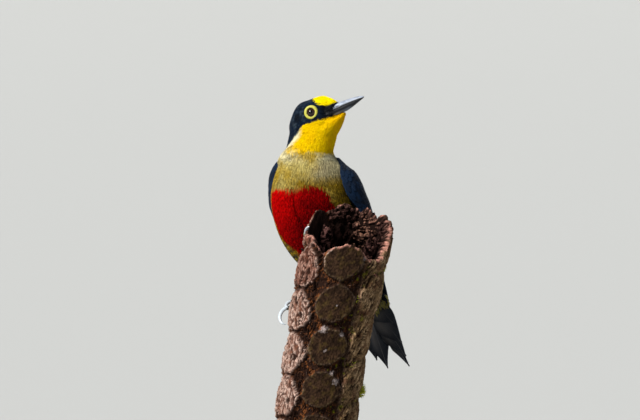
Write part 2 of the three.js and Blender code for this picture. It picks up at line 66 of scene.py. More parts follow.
# Each station: middle x, y, z, half-width, depth on the belly's side and on the back's side, and the turn of
# its front, in degrees from -Y towards +X.
BODY_STATIONS = [
    (-7.0, 42, 225, 10.5, 11.5, 12.0, 65),
    (-7.6, 42, 214.5, 12.5, 13.4, 14.9, 62),
    (-10.3, 41.5, 204.7, 13.3, 14.3, 14.3, 45),
    (-10.7, 40.5, 197.2, 16.6, 15.5, 15.0, 5),
    (-10.4, 39, 188.6, 22.0, 18.8, 17.0, -20),
    (-8.9, 38, 177, 25.6, 22.4, 19.5, -28),
    (-6.0, 37, 162.6, 25.2, 21.6, 19.5, -27),
    (1.2, 35.5, 148.2, 22.8, 18.6, 17.5, -25),
    (7.8, 34, 134.9, 17.5, 14.5, 13.5, -25),
    (16.0, 32, 123.5, 11.4, 9.2, 9.2, -25),
    (22.8, 29, 113.6, 7.6, 4.8, 4.8, -25),
]
WING_STATIONS = [
    (-10.7, 40.5, 198.5, 17.6, 16.5, 17.0, 4),
    (-10.4, 39, 188.6, 26.5, 22, 21.0, -20),
    (-8.5, 38, 177, 31.0, 25, 23.6, -28),
    (-5.0, 37, 162.6, 32.8, 25, 23.6, -27),
    (1.6, 35.5, 148.2, 30.8, 22, 21.6, -25),
    (8.6, 34, 134.9, 26.0, 17, 18.4, -25),
    (16.8, 32, 123.5, 19.8, 12, 14.0, -25),
    (24.2, 29.5, 111, 15.2, 8.4, 9.6, -25),
    (31.4, 26, 98, 10.4, 5.6, 6.8, -25),
]
# Along the wing: share of its length, lower and upper edges in degrees round from the breast, thickness, and
# how much nearer the body the right wing lies.
WING_EDGES = np.array([
    (0.0, 84, 108, 3.4, 0),
    (0.08, 73, 140, 6.0, 0),
    (0.24, 74, 158, 7.5, 0.2),
    (0.4, 85, 166, 7.5, 3.6),
    (0.55, 94, 169, 6.5, 3.6),
    (0.7, 103, 171, 4.0, 2.4),
    (0.85, 112, 171, 2.0, 1.0),
    (1.0, 146, 168, 0.8, 0),
])
HEAD_MIDDLE = np.array([-7.25, 42, 220.4]) * MM
HEAD_TURN = 65
HEAD_PITCH = 18.3
# The head's own frame has +X to the bill's tip, +Y to the bird's left and +Z to the crown.
SKULL_STATIONS = [
    (-14.6, 0, 2.4, 5.0, 5.0, 4.6),
    (-11.6, 0, 1.0, 9.0, 8.0, 9.0),
    (-6.5, 0, 0.2, 11.2, 9.6, 12.4),
    (0, 0, 0.2, 11.8, 10.0, 12.6),
    (6, 0, 0.4, 10.6, 9.0, 12.6),
    (11.5, 0, 0.8, 7.4, 6.0, 11.6),
    (15.6, 0, 1.8, 4.0, 3.0, 8.2),
    (18.2, 0, 2.6, 2.0, 1.4, 2.8),
]
CHIN_STATIONS = [
    (20.4, 0, -0.9, 1.4, 0.7, 0.7),
    (16.6, 0, -2.4, 4.4, 2.2, 2.4),
    (11.6, 0, -4.8, 7.6, 4.2, 4.6),
    (4.8, 0, -8.0, 10.0, 5.8, 6.6),
    (-4.0, 0, -11.0, 10.4, 5.0, 7.0),
]
# The bill: distance along the head, heights of its ridge, cutting edge and lower side, and half-width.
BILL = np.array([
    (8.5, 5.0, 1.2, -2.2, 7.2),
    (12, 5.4, 1.5, -1.9, 6.3),
    (15, 5.6, 1.9, -1.3, 5.0),
    (18, 5.75, 2.3, -0.6, 4.1),
    (21.5, 5.85, 2.7, -0.35, 3.4),
    (26, 5.85, 3.2, 0.9, 2.6),
    (29.5, 5.65, 3.5, 2.1, 1.95),
    (31.8, 5.35, 3.7, 2.9, 1.5),
    (33.4, 4.85, 3.9, 3.4, 1.05),
    (34.2, 4.3, 4.0, 3.75, 0.65),
])
EYE_MIDDLE = np.array([3.05, 8.4, 4.45])
EYE_RADIUS = 3.0
EYE_TILT = 12
EYE_RING_RADIUS = 4.2
TAIL_LENGTH, TAIL_HALF_WIDTH = 58, 5.6
TAIL_ROOT = np.array([17.8, 32.5, 127.5])
TAIL_AXIS = np.array([23.2, -13.5, -49.6])
TAIL_TURN = -26
# Each tail feather: spread in degrees to the left, share of the length, forward fold, width, and the share
# where it starts to narrow.
TAIL_FEATHERS = [
    (6.25, 0.94, 1.0, 0.9, 0.78), (-6.8, 1.03, 1.0, 0.78, 0.78), (11.5, 0.83, 2.4, 0.95, 0.78),
    (-8.8, 0.93, 2.0, 1.4, 0.7), (17.5, 0.66, 4.4, 1.0, 0.65), (-12.5, 0.8, 3.5, 1.8, 0.65),
    (22, 0.52, 6.8, 1.0, 0.6), (-19.0, 0.60, 5.0, 1.8, 0.6),
]
STEM_FOOT = np.array([-8.6, -16, 38])
STEM_LEAN, STEM_BOW = 6.8, 0.00045
STEM_RADIUS, STEM_SWELL = 23.3, 1.6
STEM_FLOOR = 92
SCAR_PITCH, SCAR_TOP, SCAR_COLUMNS = 24.9, 106.5, 6
SCAR_HALF_WIDTH, SCAR_HALF_HEIGHT = 11.6, 11.0
# The broken rim: turn round the stem from -Y towards +X, in degrees, and height above the foot.
STEM_RIM = np.array([
    (-180, 132), (-176, 133.5), (-168, 136), (-158, 135.6), (-150, 133.2), (-138, 131.2), (-129, 133.6),
    (-117, 132), (-106, 126), (-97, 120.5), (-60, 120), (-32, 110), (-20, 114.2), (0, 116), (20, 113),
    (34, 107), (60, 106), (80, 119), (89, 122), (112, 126), (126, 128.8), (136, 129.2), (141, 127.8),
    (146, 129.4), (154, 131), (163, 132.4), (172, 132.6), (180, 132),
])
# Flecks of lichen: turn, height and radius.
LICHEN = [
    (28.6, 107.4, 1.5), (2.8, 80.7, 0.5), (-10.5, 67.0, 2.3), (17.8, 64.0, 1.6), (-2.4, 54.3, 0.8),
    (12.8, 41.5, 1.4), (20.6, 36.8, 2.2),
]
BARK_CLEAR = 1.6
LEGS = {
    "right": {"hip": (1, 31, 136), "knee": (-2.5, 22, 121), "heel": (-3.5, 14, 106), "grip": (-134, 77)},
    "left": {"hip": (8, 29, 139), "knee": (6, 20, 133), "heel": (1.5, 14.6, 129), "grip": (-142, 109)},
}
# Each toe: the turn and height where it ends on the bark and of its claw's tip, the claw's arch and its bite.
TOES = {
    "right": {
        "outer": ((-106, 76.4), (-94, 67.6), 3.8, 0.4),
        "front": ((-114, 80), (-98, 77.4), 1.3, 0.4),
        "inner": ((-146, 90), (-149, 96), 1.4, 0.4),
        "hind": ((-152, 67), (-158, 62), 1.4, 0.4),
    },
    "left": {
        "outer": ((-178, 112), (-192, 108), 1.4, 0.4),
        "front": ((-150, 126), (-151, 132), 1.4, 0.4),
        "inner": ((-115, 120), (-91, 124.5), -1.0, -2.6),
        "hind": ((-150, 98), (-148, 92), 1.4, 0.4),
    },
}
TOE_RADIUS = 1.35

# ---- small helpers


def unit(vectors):
    """The vectors at a length of one."""
    return vectors / np.maximum(np.linalg.norm(vectors, axis=-1, keepdims=True), 1e-12)


def dot(a, b):
    """The dot product of two arrays of vectors, kept as a column."""
    return (a * b).sum(-1, keepdims=True)


def ease(low, high, value):
    """0 at low and 1 at high, level beyond them, with a smooth change between. low may be the greater."""
    share = np.clip((value - low) / (high - low), 0, 1)
    return share * share * (3 - 2 * share)


def blend(a, b, share):
    """a where share is 0 and b where it is 1, for colours or points."""
    share = np.asarray(share, float)[..., None]
    return np.asarray(a) * (1 - share) + np.asarray(b) * share


def facing(turn):
    """The level direction at a turn in degrees from -Y towards +X."""
    angle = np.radians(turn)
    return np.stack([np.sin(angle), -np.cos(angle), np.zeros_like(angle)], -1)


LATTICE_SIZE = 32
LATTICE = np.random.default_rng(11).random((LATTICE_SIZE,) * 3)


def noise(points, size, octaves=1):
    """Smooth noise from 0 to 1 whose lumps are about a size, in metres."""
    total = np.zeros(points.shape[:-1])
    weight = 0
    for octave in range(octaves):
        place = points / size * 2**octave + 31.7 * octave
        cell = np.floor(place).astype(int)
        part = place - cell
        part = part * part * (3 - 2 * part)
        value = np.zeros_like(total)
        for corner in np.ndindex(2, 2, 2):
            near = np.where(corner, part, 1 - part).prod(-1)
            index = (cell + corner) % LATTICE_SIZE
            value += near * LATTICE[index[..., 0], index[..., 1], index[..., 2]]
        total += value * 0.5**octave
        weight += 0.5**octave
    return total / weight


def smooth_run(rows):
    """A smooth curve through the rows, read at shares from 0 to 1."""
    rows = np.asarray(rows, float)
    padded = np.vstack([2 * rows[0] - rows[1], rows, 2 * rows[-1] - rows[-2]])

    def read(share):
        place = np.clip(np.asarray(share, float), 0, 1) * (len(rows) - 1)
        index = np.minimum(place.astype(int), len(rows) - 2)
        part = (place - index)[..., None]
        p0, p1, p2, p3 = (padded[index + step] for step in range(4))
        m1, m2 = (p2 - p0) / 2, (p3 - p1) / 2
        cubic = (2 * p1 - 2 * p2 + m1 + m2) * part**3
        return cubic + (3 * p2 - 3 * p1 - 2 * m1 - m2) * part**2 + m1 * part + p1

    return read


# The places sampled along a form, how many points are looked up at once, and the step for its direction.
FORM_SAMPLES, FORM_BATCH, FORM_STEP = 240, 20000, 0.004


class Form:
    """A tapering form round a run of stations, in metres."""

    def __init__(self, stations):
        sizes = np.array([station[:6] for station in stations], float) * MM
        if len(stations[0]) > 6:
            fronts = facing(np.array([station[6] for station in stations], float))
        else:
            fronts = np.tile([0.0, 0.0, -1.0], (len(stations), 1))
        self.read = smooth_run(np.hstack([sizes, fronts]))
        self.samples = np.linspace(0, 1, FORM_SAMPLES)
        self.middles = self.read(self.samples)[:, :3]

    def section(self, t):
        """Middle, side and front directions, and sizes at t."""
        t = np.asarray(t, float)
        row = self.read(t)
        before, after = np.maximum(t - FORM_STEP, 0), np.minimum(t + FORM_STEP, 1)
        tangent = unit(self.read(after)[..., :3] - self.read(before)[..., :3])
        front = row[..., 6:9]
        front = unit(front - tangent * dot(front, tangent))
        return row[..., :3], np.cross(front, tangent), front, row[..., 3:6], tangent

    def point(self, t, angle, out=0.0, share=1.0):
        """The point at t and an angle round from the front towards the bird's left, moved outwards by out."""
        middle, side, front, sizes, _ = self.section(t)
        deep = np.where(np.cos(angle) > 0, sizes[..., 1], sizes[..., 2])
        across = np.sin(angle) * (sizes[..., 0] + out) * share
        ahead = np.cos(angle) * (deep + out) * share
        return middle + side * across[..., None] + front * ahead[..., None]

    def locate(self, points):
        """t and the angle round, in degrees, of points on or near the form."""
        t = np.empty(len(points))
        for start in range(0, len(points), FORM_BATCH):
            part = points[start : start + FORM_BATCH]
            away = (self.middles**2).sum(1) - 2 * part @ self.middles.T
            t[start : start + FORM_BATCH] = self.samples[np.argmin(away, 1)]
        middle, side, front, sizes, _ = self.section(t)
        reach = points - middle
        ahead = dot(reach, front)[:, 0]
        ahead = ahead / np.where(ahead > 0, sizes[:, 1], sizes[:, 2])
        return t, np.degrees(np.arctan2(dot(reach, side)[:, 0] / sizes[:, 0], ahead))


BODY = Form(BODY_STATIONS)
WING_FACE = Form(WING_STATIONS)
SKULL = Form(SKULL_STATIONS)
CHIN = Form(CHIN_STATIONS)
BILL_RUN = smooth_run(BILL)


def head_axes():
    """The head's own axes as rows: to the bill's tip, to the bird's left and to the crown."""
    level = facing(HEAD_TURN)
    pitch = math.radians(HEAD_PITCH)
    ahead = level * math.cos(pitch) + np.array([0, 0, math.sin(pitch)])
    left = np.cross([0, 0, 1], level)
    return np.stack([ahead, left, np.cross(ahead, left)])


HEAD_AXES = head_axes()


def from_head(points):
    """Points in the head's own frame, in metres, set in the part's frame."""
    return points @ HEAD_AXES + HEAD_MIDDLE


def to_head(points):
    """Points of the part in the head's own frame, in millimetres."""
    return (points - HEAD_MIDDLE) @ HEAD_AXES.T / MM


def wing_edge(t, column):
    """One of the wing's edge sizes at t."""
    at = WING_EDGES[:, 0]
    index = np.clip(np.searchsorted(at, t), 1, len(at) - 1)
    share = ease(at[index - 1], at[index], t)
    return WING_EDGES[index - 1, column] * (1 - share) + WING_EDGES[index, column] * share


def wing_point(side, t, across, depth=0.0):
    """A point on a folded wing's face: across from 0 at its lower edge to 1 at its upper, depth under it."""
    low, high = wing_edge(t, 1), wing_edge(t, 2)
    thick = wing_edge(t, 3)
    tuck = wing_edge(t, 4) if side < 0 else 0.0
    low_drop = np.maximum(0, 1 - across / 0.35) ** 2 * np.minimum(3.8, thick * 0.6)
    high_drop = np.maximum(0, (across - 0.7) / 0.3) ** 2 * np.minimum(1.8, thick * 0.6)
    angle = np.radians(low + (high - low) * across)
    return WING_FACE.point(t, side * angle, -(tuck + low_drop + high_drop) * MM - depth)


def stem_point(turn, height, out=0.0):
    """A point near the bark: turn in degrees, height above the foot and distance out, in millimetres."""
    turn, height = np.broadcast_arrays(np.asarray(turn, float), np.asarray(height, float))
    reach = STEM_RADIUS + STEM_SWELL * ease(60, 84, height) + out
    lean = height * math.tan(math.radians(STEM_LEAN)) + STEM_BOW * height**2
    angle = np.radians(turn)
    along = np.stack([lean + reach * np.sin(angle), -reach * np.cos(angle), height], -1)
    return (STEM_FOOT + along) * MM


def stem_place(points):
    """Turn, height above the foot and depth in from the bark, of places in metres."""
    away = points / MM - STEM_FOOT
    height = away[..., 2]
    across = away[..., 0] - height * math.tan(math.radians(STEM_LEAN)) - STEM_BOW * height**2
    reach = STEM_RADIUS + STEM_SWELL * ease(60, 84, height)
    turn = np.degrees(np.arctan2(across, -away[..., 1]))
    return turn, height, reach - np.hypot(across, away[..., 1])


# ---- meshes


def circles(side, other, around, squash=1.0):
    """Points round a circle of radius 1, squashed one way, for each pair of directions across it."""
    turn = np.linspace(0, 2 * math.pi, around, endpoint=False)[:, None]
    return np.cos(turn) * side[..., None, :] + np.sin(turn) * other[..., None, :] * squash


def deselect():
    """Nothing selected, in object mode."""
    if bpy.context.mode != "OBJECT":
        bpy.ops.object.mode_set(mode="OBJECT")
    bpy.ops.object.select_all(action="DESELECT")


def activate(piece):
    """Only this piece selected and active."""
    deselect()
    piece.select_set(True)
    bpy.context.view_layer.objects.active = piece


def apply_modifier(piece, kind, **settings):
    """Adds a modifier with its settings and applies it."""
    activate(piece)
    modifier = piece.modifiers.new(kind.title(), kind)
    for key, value in settings.items():
        setattr(modifier, key, value)
    bpy.ops.object.modifier_apply(modifier=modifier.name)


def added(name):
    """The object that was just added, given its name."""
    piece = bpy.context.active_object
    piece.name = piece.data.name = name
    return piece


def settle(piece):
    """Puts the piece's place into its mesh, so its object sits at the origin."""
    activate(piece)
    bpy.ops.object.transform_apply(location=True, rotation=True, scale=True)


def set_points(mesh, points):
    """Moves a mesh's points to an array of places."""
    mesh.vertices.foreach_set("co", np.ascontiguousarray(points, np.float32).ravel())
    mesh.update()


def get_points(mesh, key="co"):
    """A mesh's points as an array, or with the key normal their normals."""
    points = np.empty(len(mesh.vertices) * 3, np.float32)
    mesh.vertices.foreach_get(key, points)
    return points.reshape(-1, 3).astype(float)


def recalculate(piece):
    """Turns a small closed piece's faces outwards."""
    activate(piece)
    bpy.ops.object.mode_set(mode="EDIT")
    bpy.ops.mesh.select_all(action="SELECT")
    bpy.ops.mesh.normals_make_consistent(inside=False)
    bpy.ops.object.mode_set(mode="OBJECT")


def mesh_of_rings(name, rings, flats=(), joined=False):
    """One mesh of closed tubes: rings is an array of tubes, rings along each, points round each, xyz.

    flats names the sides round each tube that are shaded flat. A joined tube's last ring meets its first.
    """
    tubes, along, around, _ = rings.shape
    index = np.arange(tubes * along * around).reshape(tubes, along, around)
    here = index if joined else index[:, :-1]
    following = np.roll(index, -1, 1) if joined else index[:, 1:]
    sides = np.stack([here, np.roll(here, -1, 2), np.roll(following, -1, 2), following], -1).reshape(-1, 4)
    caps = index[:0, 0] if joined else np.concatenate([index[:, 0, ::-1], index[:, -1]])
    corners = np.concatenate([sides.ravel(), caps.ravel()])
    starts = np.concatenate([np.arange(len(sides)) * 4, len(sides) * 4 + np.arange(len(caps)) * around])
    mesh = bpy.data.meshes.new(name)
    mesh.vertices.add(tubes * along * around)
    mesh.loops.add(len(corners))
    mesh.polygons.add(len(starts))
    mesh.loops.foreach_set("vertex_index", corners.astype(np.int32))
    mesh.polygons.foreach_set("loop_start", starts.astype(np.int32))
    smooth = np.ones(len(starts), bool)
    if flats:
        smooth[: len(sides)] = ~np.isin(np.arange(len(sides)) % around, flats)
        smooth[len(sides) :] = False
    mesh.polygons.foreach_set("use_smooth", smooth)
    mesh.vertices.foreach_set("co", np.ascontiguousarray(rings, np.float32).ravel())
    mesh.update(calc_edges=True)
    piece = bpy.data.objects.new(name, mesh)
    bpy.context.scene.collection.objects.link(piece)
    return piece


def paint(piece, colours):
    """Stores a colour for each point."""
    colours = np.clip(colours, 0, 1).reshape(-1, 3)
    colours = np.hstack([colours, np.ones((len(colours), 1))])
    layer = piece.data.color_attributes.new("Marking", "FLOAT_COLOR", "POINT")
    layer.data.foreach_set("color", colours.astype(np.float32).ravel())


def map_uv(piece, name, places):
    """Stores a UV map from a place for each point."""
    mesh = piece.data
    corner = np.empty(len(mesh.loops), np.int32)
    mesh.loops.foreach_get("vertex_index", corner)
    layer = mesh.uv_layers.new(name=name)
    layer.data.foreach_set("uv", np.asarray(places, np.float32).reshape(-1, 2)[corner].ravel())


def finish_piece(piece, material, slot, *replaces):
    """Gives a piece its material, rides it on the part and hides the solids it stands for."""
    piece.data.materials.clear()
    piece.data.materials.append(material)
    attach(piece, "root")
    if replaces:
        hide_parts(*replaces)


def free_blades(name, roots, ups, sizes, seed, curl, colours, finish, slot="bark", shades=(1, 1)):
    """Thin closed blades that stand from their roots and bend at random.

    sizes are their lengths and widths, and shades what their colours are multiplied by at root and tip.
    """
    rng = np.random.default_rng(seed)
    count, rows = len(roots), 6
    length, width = sizes
    bend = rng.normal(0, curl, (count, 3))
    side = unit(np.cross(ups, rng.normal(0, 1, (count, 3))))
    rings = np.empty((count, rows, 4, 3))
    at, ways = roots, ups
    for row in range(rows):
        share = row / (rows - 1)
        half = (width * (1 - share**1.6) + 0.05 * MM)[:, None]
        other = unit(np.cross(ways, side))
        for corner, (a, b) in enumerate(((1, 0), (0, 0.6), (-1, 0), (0, -0.6))):
            rings[:, row, corner] = at + side * half * a + other * half * b
        at = at + ways * (length / (rows - 1))[:, None]
        ways = unit(ways + bend / rows + rng.normal(0, 0.08, (count, 3)))
    piece = mesh_of_rings(name, rings)
    shade = np.linspace(*shades, rows)[:, None, None] * np.ones((4, 1))
    paint(piece, colours[:, None, None] * shade)
    finish_piece(piece, finish, slot)


# ---- shader groups and materials


def new_group(name, **inputs):
    """A shader group that gives a colour and a height, with its given and its resulting sockets."""
    group = bpy.data.node_groups.new(name, "ShaderNodeTree")
    for socket, default in inputs.items():
        kind = "Float" if isinstance(default, float) else "Vector" if len(default) == 3 else "Color"
        made = group.interface.new_socket(socket, in_out="INPUT", socket_type="NodeSocket" + kind)
        made.default_value = default
    for socket, kind in (("Colour", "Color"), ("Height", "Float")):
        group.interface.new_socket(socket, in_out="OUTPUT", socket_type="NodeSocket" + kind)
    return group, group.nodes.new("NodeGroupInput").outputs, group.nodes.new("NodeGroupOutput").inputs


def math_node(tree, operation, a, b=None, clamp=False):
    """A Math node fed by sockets or numbers, giving its output."""
    node = tree.nodes.new("ShaderNodeMath")
    node.operation = operation
    node.use_clamp = clamp
    for socket, value in zip(node.inputs, (a, b)):
        if isinstance(value, (int, float)):
            socket.default_value = value
        elif value is not None:
            tree.links.new(value, socket)
    return node.outputs[0]


def mix_node(tree, share, a, b, kind="MIX"):
    """A colour Mix node between two sockets, giving its output. share is a number or a socket."""
    node = tree.nodes.new("ShaderNodeMix")
    node.data_type = "RGBA"
    node.blend_type = kind
    if isinstance(share, float):
        node.inputs[0].default_value = share
    else:
        tree.links.new(share, node.inputs[0])
    tree.links.new(a, node.inputs[6])
    tree.links.new(b, node.inputs[7])
    return node.outputs[2]


def noise_node(tree, place, scale, detail=2.0):
    """A Noise texture on a place, giving its value. scale is a number or a socket."""
    node = tree.nodes.new("ShaderNodeTexNoise")
    node.inputs["Detail"].default_value = detail
    tree.links.new(place, node.inputs["Vector"])
    if isinstance(scale, float):
        node.inputs["Scale"].default_value = scale
    else:
        tree.links.new(scale, node.inputs["Scale"])
    return node.outputs["Fac"]


def barbs_group():
    """Fine barbs that run out from the shaft of each feather, and uneven colour from barb to barb."""
    defaults = {"Colour": (1, 1, 1, 1), "Barbs": 14.0, "Slant": 0.5, "Contrast": 0.3}
    group, given, result = new_group("Feather Barbs", **defaults)
    uv = group.nodes.new("ShaderNodeUVMap")
    uv.uv_map = "Vane"
    split = group.nodes.new("ShaderNodeSeparateXYZ")
    group.links.new(uv.outputs["UV"], split.inputs[0])
    outwards = math_node(group, "ABSOLUTE", split.outputs["X"])
    slanted = math_node(group, "MULTIPLY", outwards, given["Slant"])
    along = math_node(group, "SUBTRACT", split.outputs["Y"], slanted)
    turns = math_node(group, "MULTIPLY", math_node(group, "MULTIPLY", along, given["Barbs"]), 2 * math.pi)
    wave = math_node(group, "MULTIPLY", math_node(group, "ADD", math_node(group, "SINE", turns), 1.0), 0.5)
    coords = group.nodes.new("ShaderNodeTexCoord")
    uneven = noise_node(group, coords.outputs["Object"], 1400.0)
    height = math_node(group, "ADD", wave, math_node(group, "MULTIPLY", uneven, 0.8))
    lack = math_node(group, "MULTIPLY", math_node(group, "SUBTRACT", 1.0, height), given["Contrast"])
    shade = math_node(group, "SUBTRACT", 1.0, lack)
    grey = group.nodes.new("ShaderNodeCombineColor")
    for channel in range(3):
        group.links.new(shade, grey.inputs[channel])
    group.links.new(mix_node(group, 1.0, given["Colour"], grey.outputs[0], "MULTIPLY"), result["Colour"])
    group.links.new(height, result["Height"])
    return group


def grain_group():
    """Blotches and fine grain over a surface, for horn, skin, bark and wood."""
    colours = {"Colour": (1, 1, 1, 1), "Dark": (0, 0, 0, 1)}
    scales = {"Coarse": 200.0, "Fine": 1500.0, "Amount": 0.5, "Stretch": (1, 1, 1)}
    group, given, result = new_group("Grain", **colours, **scales)
    coords = group.nodes.new("ShaderNodeTexCoord")
    stretched = group.nodes.new("ShaderNodeVectorMath")
    stretched.operation = "MULTIPLY"
    group.links.new(coords.outputs["Object"], stretched.inputs[0])
    group.links.new(given["Stretch"], stretched.inputs[1])
    coarse = noise_node(group, stretched.outputs[0], given["Coarse"], 3.0)
    fine = noise_node(group, stretched.outputs[0], given["Fine"])
    coarse, fine = math_node(group, "MULTIPLY", coarse, 0.6), math_node(group, "MULTIPLY", fine, 0.4)
    height = math_node(group, "ADD", coarse, fine)
    ramp = math_node(group, "MULTIPLY", math_node(group, "SUBTRACT", 0.62, height), 4.0, clamp=True)
    share = math_node(group, "MULTIPLY", ramp, given["Amount"], clamp=True)
    group.links.new(mix_node(group, share, given["Colour"], given["Dark"]), result["Colour"])
    group.links.new(height, result["Height"])
    return group


def new_material(name, roughness, specular=0.5, tint=None, coat=0.0):
    """A material with its Principled shader, ready for links."""
    material = bpy.data.materials.new(name)
    material.use_nodes = True
    shader = material.node_tree.nodes["Principled BSDF"]
    shader.inputs["Roughness"].default_value = roughness
    shader.inputs["Specular IOR Level"].default_value = specular
    shader.inputs["Coat Weight"].default_value = coat
    if tint is not None:
        shader.inputs["Specular Tint"].default_value = (*tint, 1)
    return material, material.node_tree, shader


def marking_node(tree):
    """The stored colour of a piece."""
    node = tree.nodes.new("ShaderNodeAttribute")
    node.attribute_name = "Marking"
    return node.outputs["Color"]


def place_group(tree, group, **values):
    """A group node with its inputs set by number, colour or socket."""
    node = tree.nodes.new("ShaderNodeGroup")
    node.node_tree = group
    for key, value in values.items():
        socket = node.inputs[key]
        if isinstance(value, bpy.types.NodeSocket):
            tree.links.new(value, socket)
        elif socket.type == "RGBA":
            socket.default_value = (*value, 1)
        else:
            socket.default_value = value
    return node


def dress_shader(tree, shader, node, depth):
    """Feeds a group's colour to the shader, and its height through a bump."""
    bump = tree.nodes.new("ShaderNodeBump")
    bump.inputs["Distance"].default_value = depth
    tree.links.new(node.outputs["Colour"], shader.inputs["Base Color"])
    tree.links.new(node.outputs["Height"], bump.inputs["Height"])
    tree.links.new(bump.outputs["Normal"], shader.inputs["Normal"])


def plumage(name, roughness, barbs, contrast, depth, specular, tint=None):
    """A feather material: the marking's colour, barbs and a soft or glossy finish."""
    material, tree, shader = new_material(name, roughness, specular, tint)
    group = bpy.data.node_groups.get("Feather Barbs") or barbs_group()
    node = place_group(tree, group, Colour=marking_node(tree), Barbs=barbs, Slant=0.5, Contrast=contrast)
    dress_shader(tree, shader, node, depth)
    return material


def grained(name, colour, dark, grain, roughness, depth, stretch=(1, 1, 1), specular=0.5, coat=0.0):
    """A material of grain over a colour, or over the marking if colour is None.

    grain is its coarse scale, fine scale and amount.
    """
    material, tree, shader = new_material(name, roughness, specular, coat=coat)
    group = bpy.data.node_groups.get("Grain") or grain_group()
    base = marking_node(tree) if colour is None else colour
    scales = dict(zip(("Coarse", "Fine", "Amount"), grain))
    node = place_group(tree, group, Colour=base, Dark=dark, **scales, Stretch=stretch)
    dress_shader(tree, shader, node, depth)
    return material


# ---- settings


def a_colour(name, description, default):
    """A colour that a user may change."""
    return bpy.props.FloatVectorProperty(
        name=name, description=description, subtype="COLOR", size=3, min=0, max=1, default=default
    )


def a_length(name, description, millimetres):
    """A length that a user may change, shown in the scene's unit."""
    return bpy.props.FloatProperty(
        name=name, description=description, subtype="DISTANCE", unit="LENGTH", default=millimetres * MM, min=0
    )


def an_angle(name, description, degrees):
    """An angle that a user may change."""
    return bpy.props.FloatProperty(
        name=name, description=description, subtype="ANGLE", unit="ROTATION", default=math.radians(degrees)
    )


class PlumageSettings(bpy.types.PropertyGroup):
    """Sizes and colours of the plumage."""

    head_depth: a_length("Head Coat", "Depth of the coat on the head", 0.9)
    body_depth: a_length("Body Coat", "Depth of the coat on the body", 1.7)
    face_tuft: a_length("Face Tuft", "Length of the smallest tufts, by the bill and the eye", 1.6)
    head_tuft: a_length("Head Tuft", "Length of the tufts on the head", 3.2)
    body_tuft: a_length("Body Tuft", "Length of the tufts on the breast and belly", 6.5)
    yellow: a_colour("Yellow", "Forehead", (1.0, 0.78, 0.0))
    throat: a_colour("Throat", "Throat", (1.0, 0.66, 0.0))
    cream: a_colour("Cream", "Border of the nape", (0.98, 0.92, 0.62))
    buff: a_colour("Buff", "Upper breast", (0.60, 0.50, 0.165))
    olive: a_colour("Olive", "Flanks and the lower breast", (0.50, 0.32, 0.015))
    red: a_colour("Red", "Belly", (0.66, 0.001, 0.001))
    red_painted_shade: a_colour("Red Painted Shade", "Shaded side of the belly", (0.20, 0.0006, 0.0012))
    black: a_colour("Black", "Nape, mask and bars", (0.006, 0.007, 0.010))
    blue: a_colour("Blue", "Gloss of the wings and crown", (0.006, 0.018, 0.045))
    white: a_colour("White", "Streak down the back and rump", (0.80, 0.78, 0.72))


class BarePartSettings(bpy.types.PropertyGroup):
    """Colours of the bill, eyes and feet."""

    horn: a_colour("Horn", "Bill", (0.011, 0.012, 0.014))
    # Painted highlight along the upper side of the bill.
    horn_highlight: a_colour("Horn Highlight", "Upper side of the bill", (0.52, 0.60, 0.74))
    ring: a_colour("Eye Ring", "Bare skin round the eye", (0.46, 0.45, 0.05))
    iris: a_colour("Iris", "Eye", (0.026, 0.009, 0.006))
    toe: a_colour("Toe Skin", "Legs and toes", (0.26, 0.28, 0.16))
    claw: a_colour("Claw", "Claws", (0.55, 0.62, 0.68))


class StemSettings(bpy.types.PropertyGroup):
    """Colours of the stem."""

    disc: a_colour("Scar Face", "Faces of the leaf scars in front", (0.028, 0.015, 0.008))
    fibre: a_colour("Fibre", "Fibre of the worn scars", (0.22, 0.11, 0.08))
    pale: a_colour("Pale Fibre", "Broken edges and bleached strands", (0.58, 0.41, 0.34))
    tan: a_colour("Tan Fibre", "Strands on the right side", (0.32, 0.20, 0.10))
    orange: a_colour("Orange Fibre", "Loose fibre in the gaps", (0.24, 0.08, 0.022))
    # The gap colour is partly painted shade.
    groove: a_colour("Groove", "Dark gaps between the scars", (0.018, 0.0075, 0.0045))
    # Near black inside the hollow: rot, with painted shade.
    rot: a_colour("Rot And Painted Shade", "Inside of the broken end", (0.005, 0.0018, 0.0015))
    punk: a_colour("Punk", "Crumbled wood inside the broken end", (0.19, 0.088, 0.078))
    lichen: a_colour("Lichen", "Pale flecks", (0.50, 0.42, 0.41))
    moss: a_colour("Moss", "Moss", (0.33, 0.33, 0.008))


class StandSettings(bpy.types.PropertyGroup):
    """Sizes and colours of the display stand."""

    corner: a_length("Corner", "Radius of the base's corners", 16)
    edge: a_length("Edge", "Rounding of the base's upper and lower edges", 1.5)
    wood: a_colour("Wood", "Stained wood of the base", (0.045, 0.022, 0.012))
    wood_dark: a_colour("Wood Grain", "Dark grain of the base", (0.012, 0.006, 0.004))
    steel: a_colour("Steel", "Rod and collar", (0.52, 0.52, 0.54))


class StageSettings(bpy.types.PropertyGroup):
    """Floor, camera and lights."""

    floor: a_colour("Floor", "Floor and backdrop", (0.45, 0.46, 0.455))
    distance: a_length("Camera Distance", "From the camera to the model", 5270)
    elevation: an_angle("Camera Elevation", "How far the camera looks down", 4)
    key_turn: an_angle("Key Turn", "Turn of the main light, from the camera's side towards the right", -54)
    key_rise: an_angle("Key Rise", "Height of the main light above the horizon", 37)


SETTINGS = {
    "plumage": PlumageSettings,
    "bare_parts": BarePartSettings,
    "stem": StemSettings,
    "stand": StandSettings,
    "stage": StageSettings,
}


def settings(name):
    """One of the scene's groups of settings."""
    return getattr(bpy.context.scene, "woodpecker_" + name)


def looks(name):
    """The values of a group of settings, with its colours as arrays."""
    group = settings(name)
    values = {key: getattr(group, key) for key in group.__annotations__}
    return SimpleNamespace(**{key: v if isinstance(v, float) else np.array(v) for key, v in values.items()})


# ---- markings

YELLOW, BUFF, RED, BLUE_BLACK, BLACK = range(5)


